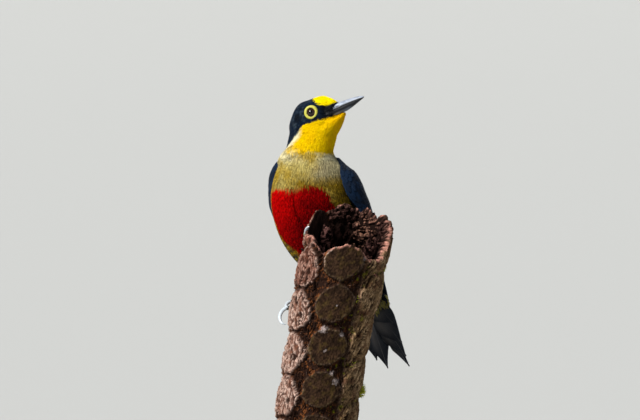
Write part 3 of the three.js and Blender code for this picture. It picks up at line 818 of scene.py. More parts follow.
def parting_angle(t):
    """Where the parting down the middle of the breast and belly lies, in degrees round the body."""
    return -4.2 + 1.2 * ease(0.55, 0.6, t) - 4 * ease(0.62, 0.68, t)


def marking(points):
    """The plumage's colour at points on the bird, and which kind of plumage it is. The markings are much
    alike on both sides, but most of the painted shade falls on the bird's left.
    """
    look = looks("plumage")
    x, _, z = to_head(points).T
    t, angle = BODY.locate(points)
    around = np.abs(angle)
    patches = noise(points, 5 * MM, 2)
    fine = noise(points, 1.6 * MM, 2)
    # Streaks for the painted sheen on the crown.
    slate = ease(0.5, 0.8, noise(points * (1, 1, 0.5), 1.3 * MM, 2))

    # How far a point is above the lower edge of the black mask and nape, in millimetres.
    mask_edge = -1.0 - 0.76 * np.maximum(0, -3 - x) + 2.6 * ease(12.4, 15.5, x)
    on_head = z - mask_edge
    on_body = (around - 117) * 0.25
    black_height = on_head + (on_body - on_head) * ease(0.16, 0.25, t)
    black = ease(-0.35, 0.35, black_height + (fine - 0.5) * 0.8)
    front = 1 - ease(0.13, 0.2, t)
    crown_edge = 5.4 + 0.078 * (13.7 - x) ** 2
    forehead = ease(-0.3, 0.3, z - crown_edge + (fine - 0.5) * 0.5) * front * ease(1.2, 2.2, x)

    throat_end = 0.258 - 0.03 * (around / 70) ** 2
    throat = 1 - ease(-0.026, 0.032, t - throat_end + (fine - 0.5) * 0.045 - 0.012 * ease(-20, -60, angle))
    rows = ease(0.25, 0.5, t)
    buff = blend(look.buff, look.olive, np.clip(ease(0.35, 0.75, patches) * 0.75 + 0.45 * rows - 0.1, 0, 1))
    buff = blend(buff, look.olive, ease(25, 75, around) * ease(0.3, 0.42, t))
    buff = blend(buff, look.cream, 0.75 * (1 - ease(0.24, 0.36, t)) * ease(0.3, 0.6, 1 - patches))
    # Greyer to the left, with painted shade low on the breast towards the left and in fine streaks between
    # the locks, which follow the coat.
    buff = blend(buff, (0.40, 0.39, 0.28), ease(5, 40, angle) * ease(0.47, 0.4, t) * 0.7)
    low = ease(0.38, 0.46, t)
    buff = buff * (1 - (0.36, 0.38, 0.5) * (low * ease(-40, 5, angle))[:, None])
    lock_shade = noise(points * (1, 1, 0.3), 1.2 * MM, 2)
    buff = buff * (1 - (0.22 + 0.25 * low) * ease(0.6, 0.35, lock_shade))[:, None]
    # A deeper orange in patches and on the left of the throat, partly painted shade; painted shade also
    # darkens the low middle of the throat.
    orange = np.clip(ease(0.4, 0.8, patches) * 0.4 + ease(-50, 0, angle) * ease(-9, -4, z) * 0.6, 0, 1)
    yellow = blend(look.throat, look.throat * (0.98, 0.78, 1), orange)
    yellow = yellow * (1 - 0.3 * ease(0.17, 0.24, t) * ease(-45, -15, angle) * ease(45, 25, angle))[:, None]
    colour = blend(buff, yellow, throat)

    # The cream border widens down the side of the neck, below the black: a paler neck, brightened further as
    # a painted highlight.
    border = ease(-4.6, -1.6, black_height) * ease(-3, -8, x) * (1 - ease(0.3, 0.38, t))
    colour = blend(colour, look.cream, border)
    # Painted shade on the left flank, below the wing.
    colour = colour * (1 - 0.45 * ease(52, 78, angle) * ease(0.36, 0.46, t))[:, None]

    red_start = 0.463 + 0.11 * (np.maximum(0, angle - 32) / 24) ** 2 - 0.009 * ease(-5, -25, angle)
    red_side = 60 - 6 * ease(0.56, 0.7, t) - 17 * ease(0.57, 0.66, t) * (angle < 0)
    red = ease(-0.01, 0.004, t - red_start + (fine - 0.5) * 0.04)
    red = red * (1 - ease(-4, 4, around - red_side + (fine - 0.5) * 12)) * (1 - ease(0.8, 0.84, t))
    # Painted shade: the red darkens from the bird's right to its left and down the belly, with uneven
    # patches.
    deep = np.clip(ease(-40, 25, angle) * 0.9 + ease(0.5, 0.66, t) * 0.7 + (patches - 0.5) * 0.5, 0, 1)
    colour = blend(colour, blend(look.red, look.red_painted_shade, deep), red)

    # Flanks and the coverts under the tail are barred black on olive and white.
    bars = ease(-0.2, 0.5, np.sin(t * 300 + around * 0.05 + (fine - 0.5) * 2))
    barred = ease(0.58, 0.66, t) * (1 - red)
    pale = blend(look.olive, look.white, ease(0.78, 0.9, t) * 0.6)
    colour = blend(colour, pale, ease(0.7, 0.8, t) * (1 - red))
    colour = blend(colour, look.black, bars * barred * (1 - ease(100, 110, around)))

    # The nape and mantle are blue-black, with a white streak down the back that widens to the rump.
    dark = blend(look.black, look.blue, ease(0.3, 0.8, patches) * ease(10, 6, x))
    # Painted sheen: slate-blue streaks behind the eye and on the crown.
    dark = blend(dark, (0.055, 0.08, 0.11), slate * np.clip(ease(4, 0, x) + ease(9, 12, z), 0, 1) * 0.8)
    back = np.clip(black + ease(100, 112, around) * ease(0.22, 0.3, t), 0, 1)
    colour = blend(colour, dark, back)
    streak = 168 - 50 * ease(0.6, 0.7, t) + 12 * (fine - 0.5)
    white = ease(-3, 3, around - streak) * ease(0.3, 0.34, t)
    colour = blend(colour, look.white, white)
    colour = blend(colour, blend(look.yellow, look.cream, ease(5.0, 2.5, x) * 0.7), forehead)

    # Painted shade in the parting down the breast and belly.
    parting = np.exp(-(((angle - parting_angle(t)) / 2.0) ** 2)) * ease(0.43, 0.49, t) * ease(0.7, 0.62, t)
    colour = colour * (1 - 0.93 * parting)[:, None]

    kind = np.full(len(points), BUFF)
    kind[(throat > 0.5) | (forehead > 0.5)] = YELLOW
    kind[red > 0.5] = RED
    kind[(back > 0.5) & (forehead <= 0.5)] = BLUE_BLACK
    kind[(bars * barred > 0.5) & (back <= 0.5)] = BLACK
    return colour, kind


# ---- the skin


def laid_on(name, form, around, along, out, ends=(0.1, 0.1)):
    """A sphere laid on a form as a closed, rounded tube. out may be a number or a function of t and angle."""
    bpy.ops.mesh.primitive_uv_sphere_add(segments=around, ring_count=along, radius=1)
    piece = added(name)
    x, y, z = get_points(piece.data).T
    polar = np.arccos(np.clip(z, -1, 1))
    t = polar / math.pi * 0.55 + 0.45 * (1 - np.cos(polar)) / 2
    from_end = np.minimum(1, np.minimum(t / ends[0], (1 - t) / ends[1]))
    share = np.sqrt(np.maximum(0, 1 - (1 - from_end) ** 2))
    angle = np.arctan2(y, x)
    depth = out(t, angle) if callable(out) else out
    set_points(piece.data, form.point(t, angle, depth, share))
    return piece


def thigh_form(leg):
    """The feathered thigh, from inside the belly to just above the heel."""
    sizes = LEGS[leg]
    knee, heel = np.array(sizes["knee"], float), np.array(sizes["heel"], float)
    cuff = knee + (heel - knee) * 0.55
    return Form([
        (*sizes["hip"], 7.5, 7, 7, 0),
        (*knee, 6.2, 5.2, 6.4, 0),
        (*cuff, 2.6, 2.3, 2.8, 0),
    ])


SKIN_VOXEL, SKIN_SMOOTHING = 0.62 * MM, 14


def make_skin():
    """One skin over the head, neck, trunk and thighs, inside them by the depth of the coat."""
    look = looks("plumage")

    def body_out(t, angle):
        share = ease(0.15, 0.4, t)
        depth = look.head_depth * (1 - share) + look.body_depth * share
        # The side of the neck puffs out over the bend of the right wing, and a parting runs down the belly.
        away = np.degrees(angle)
        puff = ease(-40, -62, away) * ease(-118, -96, away) * ease(0.2, 0.26, t) * ease(0.35, 0.3, t)
        parting = np.exp(-(((away - parting_angle(t)) / 4) ** 2)) * ease(0.38, 0.5, t) * ease(0.72, 0.62, t)
        return (2.6 * puff - 2.3 * parting) * MM - depth

    pieces = [
        laid_on("skin", BODY, 72, 90, body_out, (0.08, 0.06)),
        laid_on("skull", SKULL, 48, 40, -look.head_depth, (0.07, 0.05)),
        laid_on("chin", CHIN, 40, 30, -look.head_depth, (0.04, 0.1)),
    ]
    for part in pieces[1:]:
        set_points(part.data, from_head(get_points(part.data)))
    for leg in LEGS:
        pieces.append(laid_on("thigh", thigh_form(leg), 28, 24, -look.head_depth))
    deselect()
    for part in pieces:
        part.select_set(True)
    bpy.context.view_layer.objects.active = pieces[0]
    bpy.ops.object.join()
    skin = pieces[0]
    recalculate(skin)
    apply_modifier(skin, "REMESH", mode="VOXEL", voxel_size=SKIN_VOXEL, use_smooth_shade=True)
    apply_modifier(skin, "SMOOTH", factor=0.5, iterations=SKIN_SMOOTHING)
    # The face is hollowed in front of the eyes, where the bill's base stands clear of it.
    local = to_head(get_points(skin.data))
    x, y, z = local.T
    hollow = ease(7, 10.5, x) * ease(19, 16, x) * ease(6.4, 4.6, z) * ease(-3.6, -1.6, z)
    local[:, 1] -= np.sign(y) * np.minimum(1.3 * hollow, np.abs(y) * 0.5)
    set_points(skin.data, from_head(local * MM))
    return skin


# ---- the coat

# Places tried for each that scatter keeps, about.
TRIES = 3.2


class Cover:
    """A surface that feathers grow from: nearest places on it, its normals and the lie of the coat."""

    def __init__(self, piece):
        mesh = piece.data
        self.points = get_points(mesh)
        self.normals = get_points(mesh, "normal")
        mesh.calc_loop_triangles()
        corners = np.empty(len(mesh.loop_triangles) * 3, np.int32)
        mesh.loop_triangles.foreach_get("vertices", corners)
        self.faces = corners.reshape(-1, 3)
        self.tree = BVHTree.FromPolygons(self.points.tolist(), self.faces.tolist())

    def nearest(self, points):
        """The nearest places on the surface and the smooth normals there."""
        found = [self.tree.find_nearest(point) for point in points.tolist()]
        places = np.array([hit[0] for hit in found])
        faces = self.faces[[hit[2] for hit in found]]
        away = np.linalg.norm(self.points[faces] - places[:, None], axis=2)
        weights = 1 / (away + 0.05 * MM)
        return places, unit((self.normals[faces] * weights[..., None]).sum(1))

    def lie(self, points, normals):
        """The way the coat lies: back from the bill over the head, and down the body to the tail."""
        t, _ = BODY.locate(points)
        *_, tangent = BODY.section(t)
        bill = from_head(np.array([14.0, 0, 3.0]) * MM)
        from_bill = unit(points - bill)
        flow = blend(from_bill, tangent, ease(0.06, 0.24, t))
        return unit(flow - normals * dot(flow, normals))

    def scatter(self, spacing, seed):
        """Evenly spread places on the surface. spacing gives the space at each of an array of points."""
        rng = np.random.default_rng(seed)
        a, b, c = (self.points[self.faces[:, corner]] for corner in range(3))
        area = np.linalg.norm(np.cross(b - a, c - a), axis=1) / 2
        room = spacing((a + b + c) / 3)
        weight = np.where(room > 0, area / np.maximum(room, 1e-6) ** 2, 0)
        count = int(weight.sum() * TRIES)
        face = rng.choice(len(weight), count, p=weight / weight.sum())
        u, v = rng.random(count), rng.random(count)
        u, v = np.where(u + v > 1, 1 - u, u), np.where(u + v > 1, 1 - v, v)
        places = a[face] + (b - a)[face] * u[:, None] + (c - a)[face] * v[:, None]
        room = room[face]
        tree = KDTree(count)
        for index, place in enumerate(places):
            tree.insert(place, index)
        tree.balance()
        gone = bytearray(count)
        kept = []
        for index, place in enumerate(places.tolist()):
            if gone[index]:
                continue
            kept.append(index)
            for _, other, _ in tree.find_range(place, room[index]):
                gone[other] = 1
        return places[kept]


# A tuft's half-width from root to tip, its points across and their height, how far tufts sway in degrees, and
# how much their edges bend down.
TUFT_SHAPE = (0.5, 0.9, 1.0, 0.72, 0.12)
TUFT_COLUMNS, TUFT_ARCH = (-1, 0, 1), (0, 1, 0)
TUFT_SWAY, TUFT_CUP = 7.0, 0.04
TUFT_TRIANGLES, PIECE_TRIANGLES = 26, 190000
# Each kind of tuft: its piece, its slot, and its finish's roughness, barbs, contrast, depth and gloss.
COAT = {
    YELLOW: ("coat_yellow", "yellow_plumage", 0.8, 5, 0.2, 0.03 * MM, 0.03),
    BUFF: ("coat_buff", "buff_plumage", 0.85, 5, 0.3, 0.03 * MM, 0.1),
    RED: ("coat_red", "red_plumage", 0.8, 5, 0.3, 0.03 * MM, 0.02),
    BLUE_BLACK: ("coat_blue_black", "blue_black_plumage", 0.5, 8, 0.3, 0.04 * MM, 0.08, (0.3, 0.6, 1.0)),
    BLACK: ("coat_bars", "black_plumage", 0.5, 8, 0.3, 0.04 * MM, 0.15),
}


def vane_rings(cover, roots, length, width, lift, seed):
    """Closed vanes that start at the roots and follow the coat's lie, rising to lift above the skin."""
    rng = np.random.default_rng(seed)
    rows = len(TUFT_SHAPE)
    sway = np.radians(rng.normal(0, TUFT_SWAY, len(roots)))[:, None]
    columns, arch = np.array(TUFT_COLUMNS, float), np.array(TUFT_ARCH, float)
    rings = np.empty((len(roots), rows, len(columns), 3))
    at = roots
    for row, shape in enumerate(TUFT_SHAPE):
        at, normal = cover.nearest(at)
        lie = cover.lie(at, normal)
        lie = unit(lie * np.cos(sway) + np.cross(lie, normal) * np.sin(sway))
        side = np.cross(lie, normal)
        share = row / (rows - 1)
        half = (width * shape)[:, None, None]
        centre = (at + normal * (lift * share**0.5)[:, None])[:, None]
        thick = (0.05 * width * (0.4 + 0.6 * shape) + 0.02 * MM)[:, None, None]
        rise = thick * arch[:, None] - TUFT_CUP * half * columns[:, None] ** 2
        rings[:, row] = centre + side[:, None] * half * columns[:, None] + normal[:, None] * rise
        at = at + lie * (length / (rows - 1))[:, None]
    return rings


def unwrap(points):
    """The root's place on an unwrap of the skin: round the body, and along it from the bill to the tail."""
    x, y, z = to_head(points).T
    t, angle = BODY.locate(points)
    round_head = 0.5 + 0.46 * np.degrees(np.arctan2(y, 2 - z)) / 180
    along_head = np.clip((20 - x) / 36, 0, 1) * 0.3 + 0.01
    on_head = np.stack([round_head, along_head], -1)
    on_body = np.stack([0.5 + 0.48 * angle / 180, 0.31 + 0.68 * t], -1)
    return np.where(ease(0.08, 0.2, t)[:, None] < 0.5, on_head, on_body)


# The size of one feather's patch on the skin's unwrap.
PATCH = 0.003


def dress_vanes(piece, roots_uv, columns, rows):
    """Stores the vane's own map and, for each vane, a patch at its root's place on the skin's unwrap."""
    tubes = len(roots_uv)
    across = np.broadcast_to(np.array(columns, float), (tubes, rows, len(columns)))
    along = np.broadcast_to(np.linspace(0, 1, rows)[None, :, None], across.shape)
    patch = np.stack([across * 0.5, along - 0.5], -1) * PATCH
    map_uv(piece, "OFBake", roots_uv[:, None, None] + patch)
    map_uv(piece, "Vane", np.stack([across, along], -1))


def shade_vanes(colours, seed):
    """A colour for each point of each tuft: darker at its root and edges as painted shade, and uneven from
    tuft to tuft.
    """
    rng = np.random.default_rng(seed)
    uneven = np.exp(rng.normal(0, 0.06, len(colours)))
    along = 0.88 + 0.12 * ease(0.15, 0.75, np.linspace(0, 1, len(TUFT_SHAPE)))
    across = 1 - 0.02 * np.abs(np.array(TUFT_COLUMNS, float))
    return colours[:, None, None] * (uneven[:, None, None] * along[:, None] * across)[..., None]


def make_tufts(name, cover, roots, sizes, colours, seeds, finish, slot):
    """One piece of tufts. sizes are their lengths, widths and lifts, seeds those of their sway and shade."""
    piece = mesh_of_rings(name, vane_rings(cover, roots, *sizes, seeds[0]), (2,))
    paint(piece, shade_vanes(colours, seeds[1]))
    dress_vanes(piece, unwrap(roots), TUFT_COLUMNS, len(TUFT_SHAPE))
    finish_piece(piece, finish, slot)


def eye_away(points):
    """Distance from the nearer eye's axis, in millimetres, on the eye's side of the head."""
    local = to_head(points)
    local[:, 1] = np.abs(local[:, 1])
    out = eye_axis(1)
    reach = local - EYE_MIDDLE
    away = np.linalg.norm(reach - dot(reach, out) * out, axis=1)
    return np.where(local[:, 1] > 3, away, 99)


def eye_axis(side):
    """The way an eye looks, in the head's frame."""
    tilt = math.radians(EYE_TILT)
    return unit(np.array([math.sin(tilt), side * math.cos(tilt), 0.1]))


def coat_space(points):
    """The space between tufts, in metres: closest by the bill and eye, and wider on the back, where the wings
    lie.
    """
    local = to_head(points)
    t, angle = BODY.locate(points)
    space = 0.33 + 0.05 * ease(0.1, 0.25, t) + 0.03 * ease(0.3, 0.45, t)
    space += 0.5 * ease(110, 130, np.abs(angle)) * ease(0.25, 0.35, t)
    near_bill = 1 - ease(6, 11, np.linalg.norm(local - (17, 0, 2), axis=1))
    space = space - 0.05 * near_bill - 0.04 * (1 - ease(4.5, 6.5, eye_away(points)))
    return space * MM


def coat_length(points):
    """The length of the tufts: least on the face, most on the lower belly and rump."""
    look = looks("plumage")
    local = to_head(points)
    t, _ = BODY.locate(points)
    face = np.minimum(
        ease(1, 12, np.linalg.norm(local - (17, 0, 2), axis=1)), ease(4.6, 7.5, eye_away(points))
    )
    head = look.face_tuft + (look.head_tuft - look.face_tuft) * face
    return head + (look.body_tuft - look.head_tuft) * ease(0.12, 0.42, t)


def make_coat(skin):
    """Tufts over the whole skin, in one piece for each kind of plumage."""
    look = looks("plumage")
    cover = Cover(skin)
    roots = cover.scatter(coat_space, seed=3)
    local = to_head(roots)
    keep = eye_away(roots) > EYE_RING_RADIUS - 0.1
    keep &= ~((local[:, 0] > 15.5) & (np.abs(local[:, 2] - 2.4) < 1.6))
    keep &= ~under_wing(roots)
    roots = roots[keep]
    rng = np.random.default_rng(5)
    t, angle = BODY.locate(roots)
    length = coat_length(roots) * rng.uniform(0.8, 1.2, len(roots))
    on_body = ease(0.15, 0.42, t)
    width = (0.29 + 0.10 * on_body + 0.75 * ease(110, 130, np.abs(angle)) * on_body) * MM
    width = width * rng.uniform(0.8, 1.2, len(roots))
    lift = (look.head_depth * (1 - on_body) + look.body_depth * on_body) * rng.uniform(0.84, 0.98, len(roots))
    places, normals = cover.nearest(roots)
    middles = places + cover.lie(places, normals) * (length * 0.6)[:, None]
    colour, kind = marking(middles + rng.normal(0, 0.15 * MM, roots.shape))
    for number, (name, slot, *looks_like) in COAT.items():
        finish = plumage(slot, *looks_like)
        chosen = np.flatnonzero(kind == number)
        parts = max(1, math.ceil(len(chosen) * TUFT_TRIANGLES / PIECE_TRIANGLES))
        for part in range(parts):
            mine = chosen[part::parts]
            sizes = length[mine], width[mine], lift[mine]
            seeds = 7 + number + 10 * part, 20 + number + part
            part_name = name if parts == 1 else f"{name}_{part + 1}"
            make_tufts(part_name, cover, roots[mine], sizes, colour[mine], seeds, finish, slot)


# ---- wings and tail


def wing_core_rings(side, rows=40, columns=14, cover=1.1):
    """Rings of the wing's closed core, under its feathers."""
    t = np.linspace(0.01, 0.93, rows)
    across = np.linspace(0.02, 0.98, columns)
    t_grid, across_grid = np.meshgrid(t, across, indexing="ij")
    thick = wing_edge(t_grid, 3)
    top = wing_point(side, t_grid, across_grid, np.minimum(cover, thick * 0.4) * MM)
    under = wing_point(side, t_grid, across_grid, (thick - 0.1) * MM)
    return np.concatenate([top, under[:, ::-1]], 1)[None]


def under_wing(points):
    """True where a folded wing lies over the skin, well inside the wing's edges."""
    t, angle = WING_FACE.locate(points)
    away = np.abs(angle)
    inside = (away > wing_edge(t, 1) + 7) & (away < wing_edge(t, 2) - 6)
    return inside & (t > 0.03) & (t < 0.97)


# A long feather's points across, over and back under it, and how high they stand.
FLIGHT_COLUMNS = np.array([-1, -0.92, -0.5, -0.08, 0.08, 0.5, 0.92, 1, 0.5, -0.5])
FLIGHT_ARCH = np.array([0, 0.9, 1.3, 1.2, 1.2, 1.3, 0.9, 0, -0.6, -0.6])
FLIGHT_TILT = 0.12 * MM


def wing_vanes(side, paths, widths, profile, depths):
    """Long feathers laid on a wing.

    Each path is (t start, across start, t end, across end). depths are (start, end) under the wing's face.
    """
    share = np.linspace(0, 1, len(profile))
    rings = np.empty((len(paths), len(profile), len(FLIGHT_COLUMNS), 3))

    def place(t, across, depth):
        return wing_point(side, t, np.clip(across, -0.04, 1.04), depth)

    for index, (t0, a0, t1, a1) in enumerate(paths):
        t = t0 + (t1 - t0) * share
        a = a0 + (a1 - a0) * ease(0, 1, share) * 0.5 + (a1 - a0) * share * 0.5
        step = 0.01
        reach = np.linalg.norm(place(t, a + step, 0.0) - place(t, a - step, 0.0), axis=-1) / (2 * step)
        across = a[:, None] + (widths[index] * profile / np.maximum(reach, 1e-4))[:, None] * FLIGHT_COLUMNS
        deep0, deep1 = depths[index]
        deep = deep0 + (deep1 - deep0) * share[:, None] - FLIGHT_TILT * FLIGHT_COLUMNS
        deep = deep - FLIGHT_ARCH * 0.14 * MM * (0.3 + 0.7 * profile)[:, None]
        rings[index] = place(np.repeat(t[:, None], len(FLIGHT_COLUMNS), 1), across, deep)
    return rings


def feather_profile(rows, tip=0.2, base=0.45, point=1.0):
    """Half-widths along a feather: a narrow base, an even blade and a rounded or pointed tip."""
    share = np.linspace(0, 1, rows)
    body = base + (1 - base) * ease(0, 0.3, share)
    end = np.sqrt(np.clip(1 - (np.maximum(0, share - (1 - tip)) / tip) ** (2 / point), 0.004, 1))
    return body * end


# The wing's feathers in groups: how many, the first one's path on the wing, the step from each to the next,
# their half-width, their depth at root and tip, and their profile. The coverts' paths are worked out apart.
WING_FEATHERS = {
    "primaries": (
        9, (0.34, 0.1, 1, 0.32), (0.015, 0.045, -0.055, 0.07), 2.9, (1.15, 0.75), (22, 0.16, 0.7, 1.3)
    ),
    "secondaries": (
        6, (0.36, 0.3, 0.7, 0.42), (0.006, 0.07, 0.018, 0.075), 3.6, (0.85, 0.5), (18, 0.14, 0.7)
    ),
    "tertials": (3, (0.36, 0.72, 0.76, 0.82), (0.03, 0.07, -0.06, 0.05), 4.4, (0.6, 0.25), (18, 0.2, 0.6)),
    "coverts": (None, None, None, 1.35, (0.55, 0.1), (8, 0.45, 0.5)),
    "greater_coverts": (
        9, (0.37, 0.06, 0.53, 0.09), (0, 0.085, 0.004, 0.087), 3.3, (0.62, 0.3), (14, 0.2, 0.6)
    ),
}
COVERT_ROWS = 17


def covert_paths(rng):
    """Paths for the coverts: rows across the wing, larger and more to a row towards its tip."""
    paths = []
    for row in range(COVERT_ROWS):
        count = 9 + row // 3
        for i in range(count):
            across = (i + 0.5 * (row % 2) + rng.uniform(-0.15, 0.15)) / (count - 0.5)
            start = -0.005 + 0.0245 * row + rng.uniform(-0.004, 0.004)
            end = start + (0.05 + 0.0045 * row) * rng.uniform(0.92, 1.12)
            paths.append((start, across, end, across + 0.015 * rng.normal()))
    return paths


def make_wing(name, side, finish):
    """A folded wing: its core, coverts, greater coverts, tertials, secondaries and primaries."""
    look = looks("plumage")
    rng = np.random.default_rng(40 + (side > 0))
    core = mesh_of_rings("wing_core_" + name, wing_core_rings(side))
    paint(core, np.tile(look.black * 0.7, (len(core.data.vertices), 1)))
    map_uv(core, "Vane", np.zeros((len(core.data.vertices), 2)))
    recalculate(core)
    finish_piece(core, finish, "blue_black_plumage")

    coverts = covert_paths(rng)
    for group, (count, first, step, width, depth, profile) in WING_FEATHERS.items():
        if group == "coverts":
            paths = coverts
            widths = [(width + 1.2 * path[0] / 0.4) * MM for path in paths]
        else:
            paths = [np.add(first, np.multiply(step, i)) for i in range(count)]
            widths = [width * MM * rng.uniform(0.95, 1.05) for _ in paths]
        profile = feather_profile(*profile)
        depths = [(depth[0] * MM, depth[1] * MM * rng.uniform(0.8, 1.1)) for _ in paths]
        rings = wing_vanes(side, paths, widths, profile, depths)[:, :, ::side]
        columns = FLIGHT_COLUMNS[::side]
        piece = mesh_of_rings(f"{group}_{name}", rings, (7, 8, 9) if side > 0 else (9, 0, 1))
        # Each feather has its own share of blue, a bluer edge that is a painted sheen and, on the tertials, a
        # white tip.
        colours = blend(look.black, look.blue, rng.uniform(0.1, 0.75, len(paths)))
        tinted = np.broadcast_to(colours[:, None, None], rings.shape)
        tinted = blend(tinted, look.blue * 1.6, ease(0.8, 1.0, np.abs(columns)) * 0.5)
        if group == "tertials":
            tinted = blend(tinted, look.white, ease(0.93, 0.98, np.linspace(0, 1, len(profile)))[:, None])
        paint(piece, tinted)
        starts = [(0.5 + side * (0.05 + 0.4 * path[1]), 0.02 + 0.9 * max(path[0], 0)) for path in paths]
        dress_vanes(piece, np.array(starts), columns, len(profile))
        finish_piece(piece, finish, "blue_black_plumage", *(["wing_" + name] if group == "primaries" else []))


def tail_frames():
    """The tail's axis, the way its underside faces, and its left."""
    axis = unit(TAIL_AXIS)
    front = facing(TAIL_TURN)
    front = unit(front - axis * dot(front, axis))
    return axis, front, np.cross(axis, front)


def tail_path(feather, part):
    """The shaft of one tail feather at shares of its length, in metres."""
    axis, front, left = tail_frames()
    spread, share, fold = TAIL_FEATHERS[feather][:3]
    spread = math.radians(spread)
    along = axis * math.cos(spread) + left * math.sin(spread)
    part = np.asarray(part)[..., None]
    reach = TAIL_LENGTH * share * part
    return (TAIL_ROOT + along * reach + front * (fold * part + 2.2 * part * (1 - part))) * MM


def make_tail(finish, shaft_finish):
    """Stiff, pointed tail feathers in a roof, each with its strong shaft."""
    look = looks("plumage")
    rows = 40
    part = np.linspace(0, 1, rows)
    rings, shafts = [], []
    rng = np.random.default_rng(77)
    for feather, (spread, _, _, wide, point) in enumerate(TAIL_FEATHERS):
        path = tail_path(feather, part)
        tangent = unit(np.gradient(path, axis=0))
        front = facing(np.full(rows, TAIL_TURN + math.copysign(24, spread)))
        front = unit(front - tangent * dot(front, tangent))
        left = np.cross(front, tangent)
        late = np.clip((part - point) / (1 - point), 0, 1)
        narrow = np.maximum(0.08, 1 - late ** (3.83 - 3.88 * point))
        taper = np.where(part > point, narrow, 0.64 + 0.6 * np.minimum(part, 0.6))
        ragged = 1 + rng.normal(0, 0.03, rows) * late
        half = TAIL_HALF_WIDTH * wide * MM * taper * ragged
        lift = FLIGHT_ARCH * 0.35 * MM - 0.9 * FLIGHT_COLUMNS**2 * (half / TAIL_HALF_WIDTH)[:, None]
        ring = path[:, None] + left[:, None] * half[:, None, None] * FLIGHT_COLUMNS[:, None]
        rings.append(ring - front[:, None] * lift[..., None])
        radius = (0.55 * (1 - part) + 0.14) * MM
        shafts.append((path + front * 0.25 * MM)[:, None] + circles(left, front, 8) * radius[:, None, None])
    tail = mesh_of_rings("tail_feathers", np.array(rings))
    recalculate(tail)
    # Painted sheen: each vane shines grey beside its shaft, least towards the tip.
    grey = (ease(0.1, 0.35, part) * ease(0.9, 0.65, part))[:, None]
    grey = np.exp(-(((FLIGHT_COLUMNS + 0.4) / 0.4) ** 2)) * grey
    paint(tail, np.tile(blend(look.black * 1.6, (0.15, 0.14, 0.13), grey * 0.85), (len(rings), 1, 1, 1)))
    spots = np.array([(0.2 + 0.08 * index, 0.5) for index in range(len(rings))])
    dress_vanes(tail, spots, FLIGHT_COLUMNS, rows)
    finish_piece(tail, finish, "black_plumage", "tail")
    make_undertail(tail, finish)
    shaft = mesh_of_rings("tail_shafts", np.array(shafts))
    recalculate(shaft)
    finish_piece(shaft, shaft_finish, "horn")


def make_undertail(tail, finish):
    """Short coverts, olive spotted with black, over the underside of the tail's base."""
    look = looks("plumage")
    axis, front, _ = tail_frames()
    cover = Cover(tail)

    def space(points):
        part = (points / MM - TAIL_ROOT) @ axis / TAIL_LENGTH
        return np.where((part > 0.05) & (part < 0.36), 0.8 * MM, 0)

    roots = cover.scatter(space, 81)
    roots = roots[cover.nearest(roots)[1] @ front > 0.2]
    rng = np.random.default_rng(82)
    length, width = rng.uniform(2.6, 4.2, len(roots)) * MM, rng.uniform(0.5, 0.9, len(roots)) * MM
    sizes = length, width, np.full(len(roots), 0.8 * MM)
    colours = blend(look.black, (0.42, 0.36, 0.08), ease(0.48, 0.56, noise(roots, 1.5 * MM)))
    make_tufts("coat_undertail", cover, roots, sizes, colours, (83, 84), finish, "black_plumage")


# ---- bill and eyes


def bill_surface(sign, share, angle):
    """A point on one half of the bill, in the head's frame. angle runs over it from 0 to pi."""
    x, ridge, edge, under, wide = np.moveaxis(BILL_RUN(share), -1, 0)
    edge = edge + sign * 0.08
    deep = (ridge - edge) if sign > 0 else (edge - under)
    if sign < 0:
        x = x - 0.5 * share
    close = np.sqrt(np.clip((1 - share) / 0.02, 0, 1))
    rise = np.sin(angle) ** (1.15 if sign > 0 else 0.9)
    across = np.sign(np.cos(angle)) * np.abs(np.cos(angle)) ** 0.9
    return np.stack([x, wide * across * close, edge + sign * deep * rise * close], -1)


def make_bill(finish, bristle_finish):
    """Both halves of the bill, with a ridge along the top, cutting edges and slit nostrils under bristles."""
    look = looks("bare_parts")
    for name, sign in (("upper", 1), ("lower", -1)):
        share = np.concatenate([np.linspace(0, 0.96, 62), 0.96 + 0.04 * np.sin(np.linspace(0.1, 1.52, 12))])
        over = np.linspace(0, math.pi, 29)
        s, a = np.meshgrid(share, over, indexing="ij")
        shell = bill_surface(sign, s, a)
        under = bill_surface(sign, s[:, 1:-1], math.pi - a[:, 1:-1])
        under[..., 2] = bill_surface(sign, s[:, 1:-1], 0 * a[:, 1:-1])[..., 2] + sign * 0.02
        x, y, z = np.moveaxis(shell, -1, 0)
        edge = BILL_RUN(s)[..., 2]
        if sign > 0:
            # A blunt ridge runs along each side above the nostril slit.
            slit = np.exp(-(((x - 17.5) / 1.4) ** 2) - ((z - edge - 1.4) / 0.4) ** 2)
            rib = np.exp(-(((z - edge - 1.7) / 0.55) ** 2)) * ease(32, 22, x)
            shell[..., 1] += np.sign(y) * (0.28 * rib - 0.8 * slit)
        rings = np.concatenate([shell, under], 1)[None]
        piece = mesh_of_rings("bill_" + name + "_horn", from_head(rings * MM))
        recalculate(piece)
        # The upper half has a painted highlight along its side, from the nostril on, and the lower is pale
        # only towards its tip.
        deep = (BILL_RUN(s)[..., 1] - edge) if sign > 0 else (edge - BILL_RUN(s)[..., 3])
        height = (z - edge) / np.maximum(deep, 0.5)
        if sign > 0:
            low = 0.06 + 0.14 * ease(12, 18, x)
            light = ease(low, low + 0.2, height) * (1 - 0.5 * ease(0.85, 1.0, height))
            light = light * ease(0, 1.5, x - 10.5 - 7 * height)
        else:
            light = 0.45 * ease(0.5, 0.8, -height) * ease(12, 16, x) * ease(27, 22, x)
        light = light * (0.75 + 0.5 * (noise(shell * (0.12, 1, 1), 0.8, 2) - 0.5))
        colours = blend(look.horn, look.horn_highlight, np.clip(light, 0, 1))
        if sign > 0:
            colours = colours * (1 - 0.85 * slit[..., None])
        inside = np.broadcast_to(look.horn * 0.5, under.shape)
        paint(piece, np.concatenate([colours, inside], 1))
        finish_piece(piece, finish, "horn", "bill_" + name)
    make_bristles(bristle_finish)


BRISTLES = 620


